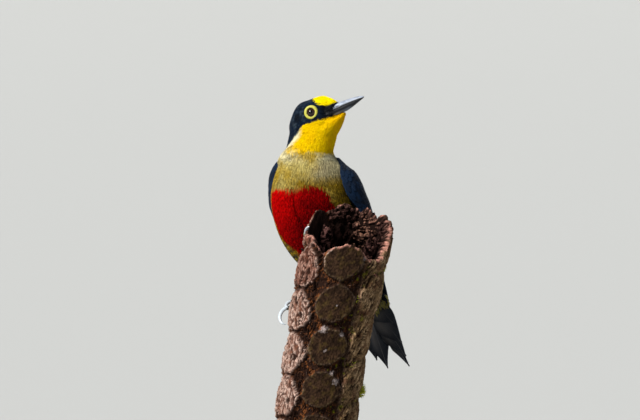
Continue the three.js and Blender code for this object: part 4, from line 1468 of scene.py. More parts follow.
def make_bristles(finish):
    """Fine bristles that lie forward over the nostrils and stand at the corners of the bill."""
    look = looks("plumage")
    rng = np.random.default_rng(90)
    count = BRISTLES
    side = rng.choice([-1, 1], count)
    height = np.where(rng.random(count) < 0.2, rng.uniform(-1.2, 0.8, count), rng.uniform(2.3, 5.8, count))
    along = 10.4 + rng.uniform(0, 1, count) * (1.0 + 1.25 * np.maximum(0, height - 2.0))
    lean = (height - 2.2) / 3.6
    wide = 5.7 - 0.55 * (along - 13) - 2.4 * lean**2
    roots = np.stack([along, side * wide, height], -1)
    inwards, upwards = -side * rng.uniform(0.06, 0.3, count), rng.normal(-0.02, 0.12, count)
    ways = unit(np.stack([np.ones(count), inwards, upwards], -1))
    sizes = rng.uniform(1.6, 3.6, count) * MM, np.full(count, 0.09) * MM
    tones = blend(look.black * 0.6, (0.05, 0.055, 0.06), rng.random(count) ** 5)
    roots, ways = from_head(roots * MM), ways @ HEAD_AXES
    free_blades("bill_bristles", roots, ways, sizes, 91, 0.12, tones, finish, "black_plumage")


# The lids' and ring's profile: distance from the eye's axis and along it.
LID = np.array([
    (2.2, 1.5), (2.25, 2.05), (2.33, 2.32), (2.45, 2.4), (2.56, 2.3), (2.68, 2.26), (2.85, 2.4), (3.1, 2.48),
    (3.35, 2.44), (3.45, 2.34), (3.56, 2.35), (3.8, 2.2), (4.0, 1.95), (4.2, 1.5), (4.25, 1.0), (4.0, 0.4),
    (3.2, 0.6),
])
LID_SEGMENTS = 120


def make_eyes(eye_finish, ring_finish):
    """Each eye with its dark iris, its lids and the ring of bare yellow skin round them."""
    look = looks("bare_parts")
    for name, side in (("left", 1), ("right", -1)):
        middle = EYE_MIDDLE * (1, side, 1)
        axis = eye_axis(side)
        bpy.ops.mesh.primitive_uv_sphere_add(segments=64, ring_count=40, radius=EYE_RADIUS)
        ball = added("eyeball_" + name)
        turn = Vector((0, 0, 1)).rotation_difference(Vector(axis)).to_matrix()
        points = get_points(ball.data)
        off_axis = np.degrees(np.arccos(np.clip(points[:, 2] / EYE_RADIUS, -1, 1)))
        bulge = 1 + 0.035 * (1 - ease(8, 40, off_axis))
        points = points * bulge[:, None]
        streak = noise(unit(points) * (1, 1, 0.2), 0.12, 2)
        iris = blend(look.iris * 0.5, look.iris * 1.8, streak)
        iris = blend(iris, (0.001, 0.001, 0.001), 1 - ease(25, 27, off_axis))
        iris = blend(iris, (0.002, 0.0015, 0.001), ease(42, 47, off_axis))
        set_points(ball.data, from_head((points @ np.array(turn).T + middle) * MM))
        paint(ball, iris)
        bpy.ops.object.shade_smooth()
        recalculate(ball)
        finish_piece(ball, eye_finish, "eye", "eye_" + name)
        first = unit(np.cross(axis, [0, 0, 1]))
        spokes = circles(first, np.cross(axis, first), LID_SEGMENTS)
        points = middle + spokes[:, None] * LID[:, :1] + axis * LID[:, 1:]
        # Lids meet at a front and a back corner, and fine folds run out across the ring.
        turn = np.linspace(0, 2 * math.pi, LID_SEGMENTS, endpoint=False)
        corner = np.exp(-((np.abs(np.sin(turn)) / 0.16) ** 2))
        radius = LID[:, 0]
        fold = 0.04 * np.sin(turn * 23)[:, None] * ease(2.7, 3.1, radius) * ease(4.2, 3.8, radius)
        fold = fold + 0.06 * (noise(points, 0.7) - 0.5) * ease(2.6, 3.0, radius)
        inner = 1 - ease(2.3, 2.9, radius)
        spoke = unit(points - middle - axis * dot(points - middle, axis))
        tall = 0.3 * np.sin(turn)[:, None] ** 2
        points = points + spoke * ((corner[:, None] * 0.2 + tall) * inner)[..., None]
        points = points + axis * (fold - corner[:, None] * inner * 0.3)[..., None]
        ring = mesh_of_rings("eye_skin_" + name, from_head(points * MM)[None], joined=True)
        recalculate(ring)
        colours = blend((0.06, 0.05, 0.03), look.ring, ease(2.3, 2.75, radius))
        colours = colours * (0.82 + 0.3 * noise(points, 0.6, 2))[..., None]
        paint(ring, colours)
        finish_piece(ring, ring_finish, "eye_skin", "eye_ring_" + name)


# ---- legs


def make_limb(name, path, radius, flat, out, shade, colour, finish, slot, replaced):
    """A limb along a path. flat is its width as a share of its height, out the way its back faces."""
    tangent = unit(np.gradient(path, axis=0))
    out = unit(out - tangent * dot(out, tangent))
    circle = circles(flat * np.cross(out, tangent), out, radius.shape[1])
    rings = path[:, None] + circle * radius[..., None] * MM
    piece = mesh_of_rings(name, rings[None])
    recalculate(piece)
    paint(piece, np.broadcast_to(colour * shade[..., None], rings.shape))
    finish_piece(piece, finish, slot, replaced)


def scutes(share, count, turn):
    """How the plates of a leg's front stand out, at shares along it and turns round it."""
    step = (share[:, None] * count) % 1
    return 0.09 * (1 - step) ** 0.5 * ease(-0.2, 0.5, np.sin(turn))


def bark_out(turn):
    """The way out from the stem at a turn."""
    return facing(np.asarray(turn, float))


SHANK_SCUTES, TOE_SCUTES = 22, 14


def make_feet(skin_finish, claw_finish):
    """Scaly shanks and toes that grip the bark, each toe with a hooked claw."""
    look = looks("bare_parts")
    turn = np.linspace(0, 2 * math.pi, 16, endpoint=False)
    for leg, sizes in LEGS.items():
        knee, heel = np.array(sizes["knee"], float), np.array(sizes["heel"], float)
        grip = np.array(sizes["grip"], float)
        pad = stem_point(*grip, BARK_CLEAR + 1.7) / MM
        cuff = knee + (heel - knee) * 0.38
        bend = heel + (cuff - heel) * 0.3
        run = smooth_run([cuff, bend, heel, heel + (pad - heel) * 0.14, heel + (pad - heel) * 0.6, pad])
        share = np.linspace(0, 1, 90)
        thickness = np.interp(share, [0, 0.3, 0.42, 0.55, 0.85, 1], [1.35, 1.45, 1.85, 1.5, 1.35, 1.7])
        radius = thickness[:, None] * (1 + scutes(share, SHANK_SCUTES, turn))
        shade = 0.55 + 0.45 * ease(0.0, 0.25, (share * SHANK_SCUTES) % 1)[:, None]
        named = f"shank_skin_{leg}", run(share) * MM, radius, 1.0, bark_out(np.full(90, grip[0])), shade
        make_limb(*named, look.toe, skin_finish, "toe_skin", "shank_" + leg)
        for toe, (end, tip, arch, bite) in TOES[leg].items():
            share = np.linspace(0.02, 1.0, 60)
            at_turn, at_height = (grip + (end - grip) * share[:, None]).T
            arched = BARK_CLEAR + TOE_RADIUS + 0.25 * np.sin(share * 3 * math.pi)
            path = stem_point(at_turn, at_height, arched)
            swell = np.interp(share, [0, 0.35, 0.6, 0.82, 1], [1.5, 1.35, 1.3, 1.25, 1.1])
            close = np.sqrt(np.clip((1.02 - share) / 0.05, 0.02, 1)) * np.sqrt(np.clip(share / 0.05, 0.1, 1))
            pads = 0.12 * np.abs(np.sin(share * 3 * math.pi))[:, None] * ease(0.2, 0.8, -np.sin(turn))
            radius = (swell * close)[:, None] * (1 + scutes(share, TOE_SCUTES, turn) + pads)
            groove = 0.5 + 0.5 * ease(0.0, 0.3, (share * TOE_SCUTES) % 1)
            shade = groove[:, None] * (1 - 0.25 * ease(0.2, 0.8, -np.sin(turn)))
            named = f"toe_skin_{leg}_{toe}", path, radius, 0.94, bark_out(at_turn), shade
            make_limb(*named, look.toe, skin_finish, "toe_skin", f"toe_{leg}_{toe}")
            share = np.linspace(0, 1, 44)
            along = 0.5 - 0.5 * np.cos(math.pi * share) - 0.05 * (1 - share) ** 4
            at_turn, at_height = (end + np.subtract(tip, end) * along[:, None]).T
            root = TOE_RADIUS + (bite - TOE_RADIUS) * share**2
            path = stem_point(at_turn, at_height, BARK_CLEAR + root + arch * np.sin(math.pi * share) ** 0.9)
            swell = np.interp(share, [0, 0.2, 0.55, 0.85, 1], [1.25, 1.2, 1.02, 0.66, 0.14])
            radius = (swell * np.sqrt(np.clip((share + 0.02) / 0.08, 0.1, 1)))[:, None] * np.ones(12)
            shade = 0.55 + 0.45 * ease(0.0, 0.25, share)[:, None]
            named = f"claw_horn_{leg}_{toe}", path, radius, 0.78, bark_out(at_turn), shade
            make_limb(*named, look.claw, claw_finish, "claw", f"claw_{leg}_{toe}")


# ---- the stem


def rim_line(turn):
    """Height of the broken rim above the foot, before its splinters."""
    return np.interp((turn + 180) % 360 - 180, STEM_RIM[:, 0], STEM_RIM[:, 1])


def rim_height(turn):
    """Height of the broken rim above the foot, with its larger splinters."""
    place = np.stack([np.cos(np.radians(turn)), np.sin(np.radians(turn)), 0 * turn], -1)
    back = ease(100, 150, np.abs(turn))
    chips = (noise(place, 0.16, 2) - 0.5) * (1.6 + 1.6 * back)
    shards = (noise(place, 0.05) - 0.5) * (1.0 + 1.6 * back)
    return rim_line(turn) + chips + shards


def scar_place(turn, height):
    """Across and upward place within the nearest leaf scar, in scar half-sizes, and the scar's own number."""
    step = 360 / SCAR_COLUMNS
    column = np.round(-turn / step)
    top = SCAR_TOP - column * SCAR_PITCH / SCAR_COLUMNS
    row = np.round((top - height) / SCAR_PITCH)
    across = np.radians(turn + column * step) * STEM_RADIUS / SCAR_HALF_WIDTH
    upward = (height - (top - row * SCAR_PITCH)) / SCAR_HALF_HEIGHT
    return across, upward, column * 7 + row


def bark_place(turn, height, squash=1.0, swirl=0.0):
    """A place for noise on the bark: squashed it runs in upright strands, which a swirl turns."""
    angle = np.radians(turn) + swirl * height / STEM_RADIUS
    return np.stack([np.sin(angle) * STEM_RADIUS, np.cos(angle) * STEM_RADIUS, height * squash], -1) * MM


def loops(across, upward, number, often):
    """Noise in broken loops round a middle."""
    round_it = np.arctan2(across, upward)
    far = np.hypot(across, upward)
    return noise(np.stack([np.cos(round_it) + number, np.sin(round_it), far * often], -1), 0.85, 2)


def bark_relief(turn, height):
    """How far the bark stands out, in millimetres, and its colour."""
    look = looks("stem")
    across, upward, number = scar_place(turn, height)
    worn = ease(27, 33, np.abs(turn))
    right = ease(25, 37, turn) * ease(150, 110, turn)
    place = bark_place(turn, height)
    speck = noise(place, 0.75 * MM, 2)
    mottle = noise(place + 7, 1.7 * MM, 2)
    patch = noise(place, 5 * MM, 2)
    # The scars in front are round. The worn ones at the sides narrow upwards and nearly meet.
    narrow = 1.04 - 0.34 * ease(-0.3, 1.1, upward)
    far = np.hypot(across, upward) * (1 - worn) + np.hypot(across / narrow, upward / 1.13) * worn
    far = far * (1 + 0.2 * (noise(place, 4 * MM) - 0.5) + 0.16 * (mottle - 0.5))

    # The worn faces show wood grain: lines that bend round knots and follow the scar's outline, cut by slits.
    knots = noise(bark_place(turn, height, 0.42), 3.4 * MM) * 0.62 + far * 0.42
    from_pit = np.hypot(across - 0.42, (upward + 0.25) * 0.8)
    knots = knots + (0.35 * from_pit - 0.25 * far) * ease(0.6, 0.2, from_pit)
    swirled = noise(bark_place(turn, height, 0.25, -0.5), 2.4 * MM) * 0.8
    knots = knots + (swirled - knots) * right
    lines = 0.5 + 0.5 * np.sin(knots * 46 + 1.5 * speck + number)
    strands = lines * 0.55 + speck * 0.25 + mottle * 0.2
    cuts = noise(bark_place(turn, height, 0.3, -0.4 * right) + 3, 1.25 * MM, 2)
    slits = worn * ease(0.40, 0.31, cuts + 0.1 * (lines - 0.5))
    pit = worn * (1 - right) * ease(0.17, 0.10, from_pit * (0.7 + 0.6 * speck))
    dark = np.maximum(slits, pit)
    ridges = ease(0.44, 0.62, strands)

    plate = ease(1.02, 0.88, far)
    groove = ease(0.96, 1.12, far) * (1 - 0.75 * right)
    edge = np.exp(-(((far - 0.92) / 0.04) ** 2)) * (1 - right)
    spokes = loops(upward, across, number, 1.2) * ease(0.5, 0.9, far)
    rise = 1.1 * plate - 1.5 * groove + 0.25 * edge
    rise += (1 - worn) * plate * ((speck - 0.5) * 0.8 + (spokes - 0.4) * 0.6 - 0.4 * (1 - far))
    rise += worn * ((ridges - 0.5) * 0.55 + (mottle - 0.5) * 0.8 - 0.9 * dark)
    rise += groove * (strands - 0.5) * 1.6

    tone = ease(0.32, 0.68, patch * 0.25 + speck * 0.45 + mottle * 0.3)
    disc = blend(look.disc * 0.3, look.disc * 2.0, tone)
    disc = blend(disc, (0.07, 0.045, 0.013), ease(0.5, 0.75, noise(place + 4, 2.6 * MM, 2)) * 0.7)
    disc = blend(disc, (0.10, 0.068, 0.03), ease(0.78, 0.92, far) * ease(0.45, 0.7, mottle) * 0.8)
    left_side = blend(look.fibre * 0.45, look.fibre, ease(0.3, 0.5, strands))
    left_side = blend(left_side, look.pale, ridges * ease(0.25, 0.55, patch * 0.5 + mottle * 0.5))
    left_side = blend(left_side, (0.20, 0.075, 0.04), ease(0.55, 0.7, noise(place + 1, 1.9 * MM)) * 0.5)
    left_side = left_side * (1 - ease(84, 94, height)[..., None] * (0.32, 0.46, 0.5))
    right_side = blend(look.tan * 0.5, look.tan, ease(0.3, 0.5, strands))
    right_side = blend(right_side, look.tan * (1.6, 1.7, 1.9), ridges * ease(0.4, 0.65, patch))
    right_side = blend(right_side, (0.13, 0.05, 0.027), ease(0.5, 0.7, noise(place + 2, 3.3 * MM)) * 0.6)
    colour = blend(disc, blend(left_side, right_side, right), worn)
    # Painted shade darkens the slits and pits.
    colour = blend(colour, look.groove, dark * 0.95)
    # The gaps between the scars are dark fibre, deepened by painted shade, with loose orange fibre that shows
    # most where the gap at the front left is lit, a painted light.
    lit_gap = ease(-6, -16, turn) * ease(-38, -30, turn)
    loose = ease(0.52, 0.66, mottle * 0.6 + speck * 0.4) * (0.3 + 0.7 * lit_gap)
    colour = blend(colour, blend(look.groove, look.orange, loose), ease(0.93, 1.02, far) * (1 - 0.6 * right))
    rimmed = ease(98, 104, height) * ease(0.2, 0.7, upward - across)
    rimmed = np.maximum(rimmed, worn * ease(0.0, 0.4, across))
    chalk = edge * ease(0.42, 0.58, speck) * (0.12 + 0.88 * rimmed)
    colour = blend(colour, look.pale, chalk * 0.9)
    for at_turn, at_height, radius in LICHEN:
        off = np.hypot(np.radians(turn - at_turn) * STEM_RADIUS, (height - at_height) * 1.2)
        colour = blend(colour, look.lichen, ease(1.2, 0.6, off / radius + (speck - 0.5) * 1.8) * 0.6)
    moss = ease(0.66, 0.8, noise(place, 2.4 * MM, 2)) * ease(0.88, 1.0, far) * ease(-15, 20, turn)
    return rise, blend(colour, look.moss, moss * 0.45)


STEM_COLUMNS, STEM_ROWS = 400, 224


def make_stem(finish, rot_finish, fibre_finish, moss_finish):
    """The broken stem with its leaf scars, its hollow end, crumbled wood, loose fibres and moss."""
    look = looks("stem")
    # Half the columns of points are packed into the front two fifths.
    turn = np.linspace(-180, 180, STEM_COLUMNS, endpoint=False)
    turn = turn - 22 * np.sin(np.radians(turn))
    rim = rim_height(turn)
    share = np.linspace(0, 1, STEM_ROWS)
    height = share[:, None] * rim[None]
    turns = np.broadcast_to(turn, height.shape)
    rise, colour = bark_relief(turns, height)
    near_rim = ease(0.985, 1.0, share)[:, None]
    outer = stem_point(turns, height, rise * ease(0, 0.012, share)[:, None] * (1 - 0.6 * near_rim))
    # The wall is a thin, smooth plate on the left and at the back, and thick and porous on the right.
    plate = ease(-160, -148, turn) * ease(-78, -90, turn)
    thick = ease(46, 62, turn) * ease(150, 128, turn)
    down = np.array([0.0, 0.03, 0.1, 0.2, 0.32, 0.46, 0.62, 0.8, 1.0])
    depth = rim[None] - down[:, None] * (rim[None] - STEM_FLOOR - 1)
    turns_in = np.broadcast_to(turn, depth.shape)
    wall = np.interp(down, [0, 0.1, 0.8, 1.0], [1.1, 4.2, 6.0, 9.5])[:, None]
    wall = wall + 1.2 * thick * ease(0.3, 0.0, down)[:, None]
    thin = np.interp(down, [0, 0.3, 0.8, 1.0], [0.5, 1.6, 4.0, 9.5])[:, None]
    wall = wall + (thin - wall) * plate
    uneven = (noise(bark_place(turns_in, depth, 0.5), 2.2 * MM, 2) - 0.5) * 0.8
    inner = stem_point(turns_in, depth, uneven - wall)
    centre = np.stack([stem_point(turn, STEM_FLOOR, -STEM_RADIUS * part - 1) for part in (0.62, 0.85)])
    foot = np.stack([stem_point(turn, 0, -STEM_RADIUS * part) for part in (0.75, 0.3)])
    stem = mesh_of_rings("stem_bark", np.concatenate([foot, outer, inner, centre])[None])
    # Inside, the wall is near black, painted shade deep in the hollow, with browner grain on the thin plate
    # and pink at its lip.
    grain = noise(bark_place(turns_in, depth, 3.0), 1.6 * MM, 2)
    torn = blend(look.rot * 0.7, (0.045, 0.022, 0.018), ease(0.3, 0.7, grain) * (0.03 + 0.97 * plate))
    lip = ease(0.05, 0.0, down)[:, None] * (0.9 - 0.75 * plate)
    pink = look.pale * (1.2, 0.8, 0.74)
    torn = blend(torn, pink, lip * ease(0.45, 0.62, noise(bark_place(turns_in, depth) + 5, 1.1 * MM, 2)))
    pale_rim = near_rim * (0.8 - 0.65 * plate) * ease(0.3, 0.6, noise(bark_place(turn, 0 * turn), 1.4 * MM))
    colour = blend(colour, pink, pale_rim)
    # The floor of the hollow is darker still, painted shade.
    dark = np.tile(look.rot * 0.4, (len(centre), len(turn), 1))
    cut = np.tile(np.array((0.16, 0.10, 0.06)), (len(foot), len(turn), 1))
    paint(stem, np.concatenate([cut, colour, torn, dark]))
    recalculate(stem)
    finish_piece(stem, finish, "bark", "perch_stem")
    make_rot(rot_finish)
    make_fibres(fibre_finish)
    make_moss(moss_finish)


def lump_rings(roots, ways, length, width, seed, bend=0.35):
    """Closed, lumpy chunks that stand from their roots."""
    rng = np.random.default_rng(seed)
    count, rows, around = len(roots), 8, 7
    curl = rng.normal(0, bend, (count, 3))
    side = unit(np.cross(ways, rng.normal(0, 1, (count, 3))))
    rings = np.empty((count, rows, around, 3))
    at, way = roots, ways
    for row in range(rows):
        swell = math.sqrt(max(0.05, 1 - (2 * row / (rows - 1) - 1) ** 6))
        other = unit(np.cross(way, side))
        radius = width[:, None] * swell * rng.uniform(0.7, 1.25, (count, 1))
        radius = radius * rng.uniform(0.85, 1.15, (count, around))
        rings[:, row] = at[:, None] + circles(side, other, around, 0.8) * radius[..., None]
        at = at + way * (length / (rows - 1))[:, None]
        way = unit(way + curl / rows + rng.normal(0, 0.16, (count, 3)))
    return rings


# The crumbled wood in groups: how many lumps, their turns, heights of their roots (below zero: from the rim),
# depths in from the bark, lengths, radii, and how loosely they stand.
ROT_LUMPS = [
    (34, (98, 212), (-9.0, -6.5), (1.6, 4.0), (4.5, 7.0), (0.8, 1.5), 0.22),
    (16, (112, 168), (-5.0, -3.0), (1.8, 4.6), (2.0, 3.2), (1.1, 1.8), 0.6),
    (12, (184, 198), (-4.5, -1.8), (1.8, 4.2), (2.0, 3.2), (1.1, 1.9), 0.5),
    (9, (192, 214), (-8.0, -5.0), (1.6, 3.4), (3.5, 5.5), (0.7, 1.3), 0.4),
    (90, (60, 218), (92, 100), (5.6, 8.5), (10, 26), (0.8, 1.6), 0.08),
    (50, (58, 132), (-14, -4.5), (1.4, 5.2), (2.0, 5.0), (0.7, 1.5), 0.5),
    (46, (128, 172), (-18, -8.0), (5.0, 9.0), (1.5, 3.6), (1.1, 2.1), 0.9),
    (16, (34, 60), (92, 104), (3.0, 6.0), (5, 9), (0.7, 1.2), 0.3),
    (4, (-138, -131), (98, 101), (2.4, 3.4), (27, 30), (0.9, 1.4), 0.04),
    (14, (-118, -98), (98, 108), (2.6, 5.0), (2.5, 6.0), (0.7, 1.3), 0.5),
    (8, (-178, -156), (-13, -10), (2.4, 4.5), (6, 9), (0.9, 1.3), 0.12),
    (44, (36, 116), (-2.6, -0.9), (0.7, 2.6), (1.0, 2.2), (0.5, 1.0), 0.8),
    (44, (160, 236), (102, 112), (3.6, 5.8), (9, 17), (0.8, 1.4), 0.07),
]
# The open middle of the hollow, corner to corner, and how far the lumps grow when they are joined.
HOLLOW = np.array([(-2.2, -27.5, 134.5), (19.8, -4.5, 150)])
LUMP_GROWTH = 1.3


def clear_hollow(rings, turn):
    """Moves rings out along their own turns, so that the lumps leave the open middle of the hollow clear."""
    low, high = HOLLOW[0] - LUMP_GROWTH, HOLLOW[1] + LUMP_GROWTH
    points, out = rings / MM, bark_out(turn)[:, None, None]
    edge = np.where(out > 0, high, low)[..., :2]
    way = np.where(np.abs(out) < 0.01, 0.01, out)[..., :2]
    reach = ((edge - points[..., :2]) / way).min(-1)
    within = (points[..., :2] > low[:2]).all(-1) & (points[..., :2] < high[:2]).all(-1)
    shift = (np.where(within, reach, 0) * ease(high[2] + 4, high[2], points[..., 2])).max(2)
    return rings + shift[..., None, None] * out * MM


ROT_VOXEL = 0.42 * MM


def make_rot(finish):
    """The crumbled wood: lumps and flutes grown into one mass."""
    look = looks("stem")
    rng = np.random.default_rng(61)
    rings = []
    for number, (count, turns, heights, depths, lengths, widths, loose) in enumerate(ROT_LUMPS):
        turn = rng.uniform(*turns, count)
        height = rng.uniform(*heights, count) + (rim_line(turn) if heights[1] < 0 else 0)
        roots = stem_point(turn, height, -rng.uniform(*depths, count))
        ways = unit(np.array([0.14, 0, 1.0]) + rng.normal(0, loose, (count, 3)) - bark_out(turn) * 0.12)
        length, width = rng.uniform(*lengths, count) * MM, rng.uniform(*widths, count) * MM
        rings.append(clear_hollow(lump_rings(roots, ways, length, width, 62 + number), turn))
    rot = mesh_of_rings("stem_rot", np.concatenate(rings))
    apply_modifier(rot, "REMESH", mode="VOXEL", voxel_size=ROT_VOXEL)
    points, normals = get_points(rot.data), get_points(rot.data, "normal")
    coarse = noise(points, 1.5 * MM, 2)
    fine = noise(points, 0.6 * MM)
    points = points + normals * (((coarse - 0.45) * 1.1 + (fine - 0.5) * 0.35) * MM)[:, None]
    set_points(rot.data, points)
    # Paler on the clump and the right wall; painted light makes it paler where it is high and faces up, and
    # painted shade darkens it deep in the hollow and in the pits.
    turn, height, inward = stem_place(points)
    lit_tops = ease(-0.2, 0.9, get_points(rot.data, "normal")[:, 2] + (coarse - 0.5) * 1.2)
    high = ease(-14, -1, height - rim_line(turn))
    clump = ease(2, 4, inward) * ease(118, 130, turn) * ease(176, 166, turn) * ease(108, 116, height)
    wall = ease(36, 46, turn) * ease(128, 112, turn) * ease(4.4, 1.2, inward)
    flute = ease(-146, -140, turn) * ease(-92, -98, turn) * ease(1.4, 2.4, inward)
    pale = np.clip(0.06 * high + 0.45 * clump + 0.7 * wall, 0, 1)
    colour = blend(look.rot, look.punk * 0.3, ease(0.42, 0.75, coarse) * (0.02 + 0.98 * high))
    colour = blend(colour, look.punk, flute * ease(0.4, 0.6, coarse) * 0.7)
    colour = blend(colour, look.punk, lit_tops * ease(0.42, 0.7, fine) * np.maximum(high * 0.45, clump))
    warm = look.pale * (0.9, 0.66, 0.5)
    colour = blend(colour, warm, pale * lit_tops * ease(0.35, 0.65, coarse * 0.5 + fine * 0.5))
    colour = blend(colour, look.pale * (1.2, 0.72, 0.68), wall * ease(0.42, 0.6, coarse) * 0.85)
    paint(rot, colour)
    finish_piece(rot, finish, "bark")


FIBRE_PLACES = 9000


def make_fibres(finish):
    """Loose fibres in the gaps between the scars."""
    look = looks("stem")
    rng = np.random.default_rng(63)
    turn = rng.uniform(-180, 180, FIBRE_PLACES)
    height = rng.uniform(2, 132, FIBRE_PLACES)
    across, upward, _ = scar_place(turn, height)
    far = np.hypot(across, upward)
    keep = (far > 0.97) & (height < rim_line(turn) - 3) & (rng.random(FIBRE_PLACES) < 0.7)
    turn, height = turn[keep], height[keep]
    count = len(turn)
    roots = stem_point(turn, height, -1.3)
    out = bark_out(turn)
    along = rng.choice([-1, 1], (count, 1)) * np.array([0.12, 0, 1.0]) * rng.uniform(0.4, 1, (count, 1))
    ways = unit(along + out * rng.uniform(0.1, 0.4, (count, 1)) + rng.normal(0, 0.35, (count, 3)))
    length = rng.uniform(1.0, 2.8, count) * MM
    width = rng.uniform(0.06, 0.18, count) * MM
    colours = blend(look.groove * 1.5, look.orange, ease(0.45, 0.95, rng.random(count)))
    colours = blend(colours, look.pale, ease(0.9, 1.0, rng.random(count)) * 0.6)
    free_blades("stem_fibres", roots, ways, (length, width), 64, 1.1, colours, finish, shades=(0.6, 1.1))


# Tufts of moss: turn, height, how many blades and how large they are.
MOSS = [
    (80, 28.5, 150, 3.0), (90, 30.0, 80, 1.8), (88, 100, 26, 0.5), (84, 92, 20, 0.4), (70, 66, 12, 0.6),
    (30, 84, 14, 0.6), (62, 12, 10, 0.6), (47, 45, 8, 0.6),
]


def make_moss(finish):
    """A sprig of moss on the stem's right side and a few in its gaps."""
    look = looks("stem")
    rng = np.random.default_rng(71)
    roots, ups, sizes = [], [], []
    for turn, height, count, size in MOSS:
        at_turn = turn + rng.normal(0, 3.0, count)
        roots.append(stem_point(at_turn, height + rng.normal(0, 1.4, count), -0.4))
        out = bark_out(at_turn) * rng.uniform(0.8, 1.3, (count, 1))
        ups.append(unit(out + rng.normal(0, 0.45, (count, 3)) + (0, 0, 0.5)))
        sizes.append(rng.uniform(0.5, 1.0, count) * (1.6 + 1.2 * size))
    roots, ups, sizes = np.concatenate(roots), np.concatenate(ups), np.concatenate(sizes)
    colours = look.moss * rng.uniform(0.8, 2.4, (len(roots), 1))
    free_blades("stem_moss", roots, ups, (sizes * MM, (0.12 + 0.05 * sizes) * MM), 72, 0.9, colours, finish)


# ---- the stand


def select_edges(piece, chosen):
    """Edit mode, with the edges selected that chosen picks out by their two ends."""
    activate(piece)
    bpy.ops.object.mode_set(mode="EDIT")
    bpy.ops.mesh.select_mode(type="EDGE")
    bpy.ops.mesh.select_all(action="DESELECT")
    bpy.ops.object.mode_set(mode="OBJECT")
    for edge in piece.data.edges:
        edge.select = bool(chosen(*(piece.data.vertices[i].co for i in edge.vertices)))
    bpy.ops.object.mode_set(mode="EDIT")


def bevel_edges(piece, chosen, offset, segments):
    """Rounds the edges that chosen picks out."""
    select_edges(piece, chosen)
    bpy.ops.mesh.bevel(offset=offset, segments=segments, affect="EDGES")
    bpy.ops.object.mode_set(mode="OBJECT")


def make_stand(wood, steel):
    """A rounded wooden base with a brushed steel rod and collar."""
    look = looks("stand")
    low, high = (np.array(corner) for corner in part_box("stand_base"))
    size, middle = high - low, (high + low) / 2
    bpy.ops.mesh.primitive_cube_add(size=1, location=middle)
    base = added("stand_plinth")
    base.scale = size
    settle(base)
    bevel_edges(base, lambda a, b: abs(a.z - b.z) > 1e-4, look.corner, 14)
    bevel_edges(base, lambda a, b: min(a.z, b.z) > high[2] - 1e-5, look.edge * 1.6, 5)
    bevel_edges(base, lambda a, b: max(a.z, b.z) < low[2] + 1e-5, look.edge * 0.6, 3)
    bpy.ops.object.shade_smooth_by_angle(angle=math.radians(30))
    finish_piece(base, wood, "plinth", "stand_base")
    for node, name, rounding in (("stand_rod", "stand_post", 0.3), ("stand_collar", "stand_disc", 0.6)):
        low, high = (np.array(corner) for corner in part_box(node))
        size, middle = high - low, (high + low) / 2
        bpy.ops.mesh.primitive_cylinder_add(vertices=72, radius=size[0] / 2, depth=size[2], location=middle)
        piece = added(name)
        settle(piece)
        apply_modifier(piece, "BEVEL", width=rounding * MM, segments=3, limit_method="ANGLE")
        bpy.ops.object.shade_smooth_by_angle(angle=math.radians(30))
        finish_piece(piece, steel, "steel", node)


# ---- the stage

CAMERA_TARGET = (-4.64, 0, 171.0)
FRAME_WIDTH = 371.2
SENSOR = 36
FLOOR_SIZE, WALL_HEIGHT = 24, 9


def make_stage():
    """A pale floor that sweeps up behind, soft lights and the camera."""
    look = looks("stage")
    bpy.ops.mesh.primitive_plane_add(size=FLOOR_SIZE)
    floor = added("floor")
    select_edges(floor, lambda a, b: min(a.y, b.y) > FLOOR_SIZE / 2 - 0.1)
    bpy.ops.mesh.extrude_region_move(TRANSFORM_OT_translate={"value": (0, 0, WALL_HEIGHT)})
    bpy.ops.object.mode_set(mode="OBJECT")
    settle(floor)
    apply_modifier(floor, "BEVEL", width=4, segments=20, limit_method="ANGLE")
    bpy.ops.object.shade_smooth()
    matt = grained("floor_paint", look.floor, look.floor, (20, 80, 0.1), 0.9, 0.1 * MM, specular=0.1)
    floor.data.materials.append(matt)

    target = np.array(CAMERA_TARGET) * MM
    back = np.array([0, -math.cos(look.elevation), math.sin(look.elevation)]) * look.distance
    bpy.ops.object.camera_add(location=target + back, rotation=(math.pi / 2 - look.elevation, 0, 0))
    camera = bpy.context.active_object
    camera.data.sensor_width = SENSOR
    camera.data.lens = SENSOR * look.distance / (FRAME_WIDTH * MM)
    camera.data.clip_end = 50
    bpy.context.scene.camera = camera

    lamps = [
        ("key", look.key_turn, look.key_rise, 6.2, 26, (1.0, 0.97, 0.93)),
        ("fill", math.radians(40), math.radians(20), 0.3, 60, (0.9, 0.95, 1.0)),
        ("top", math.radians(150), math.radians(65), 0.4, 30, (0.85, 0.93, 1.0)),
    ]
    for name, turn, rise, power, spread, colour in lamps:
        bpy.ops.object.light_add(type="SUN", location=(0, 0, 2), rotation=(math.pi / 2 - rise, 0, turn))
        lamp = added(name + "_light")
        lamp.data.energy = power
        lamp.data.angle = math.radians(spread)
        lamp.data.color = colour
    world = bpy.data.worlds.new("studio")
    world.use_nodes = True
    world.node_tree.nodes["Background"].inputs["Color"].default_value = (0.80, 0.88, 1.0, 1)
    world.node_tree.nodes["Background"].inputs["Strength"].default_value = 0.12
    bpy.context.scene.world = world
    bpy.context.scene.view_settings.view_transform = "Standard"


# ---- operators


class MakeStage(bpy.types.Operator):
    """Add the floor, lights and camera"""

    bl_idname = "woodpecker.make_stage"
    bl_label = "Stage"

    def execute(self, context):
        make_stage()
        return {"FINISHED"}


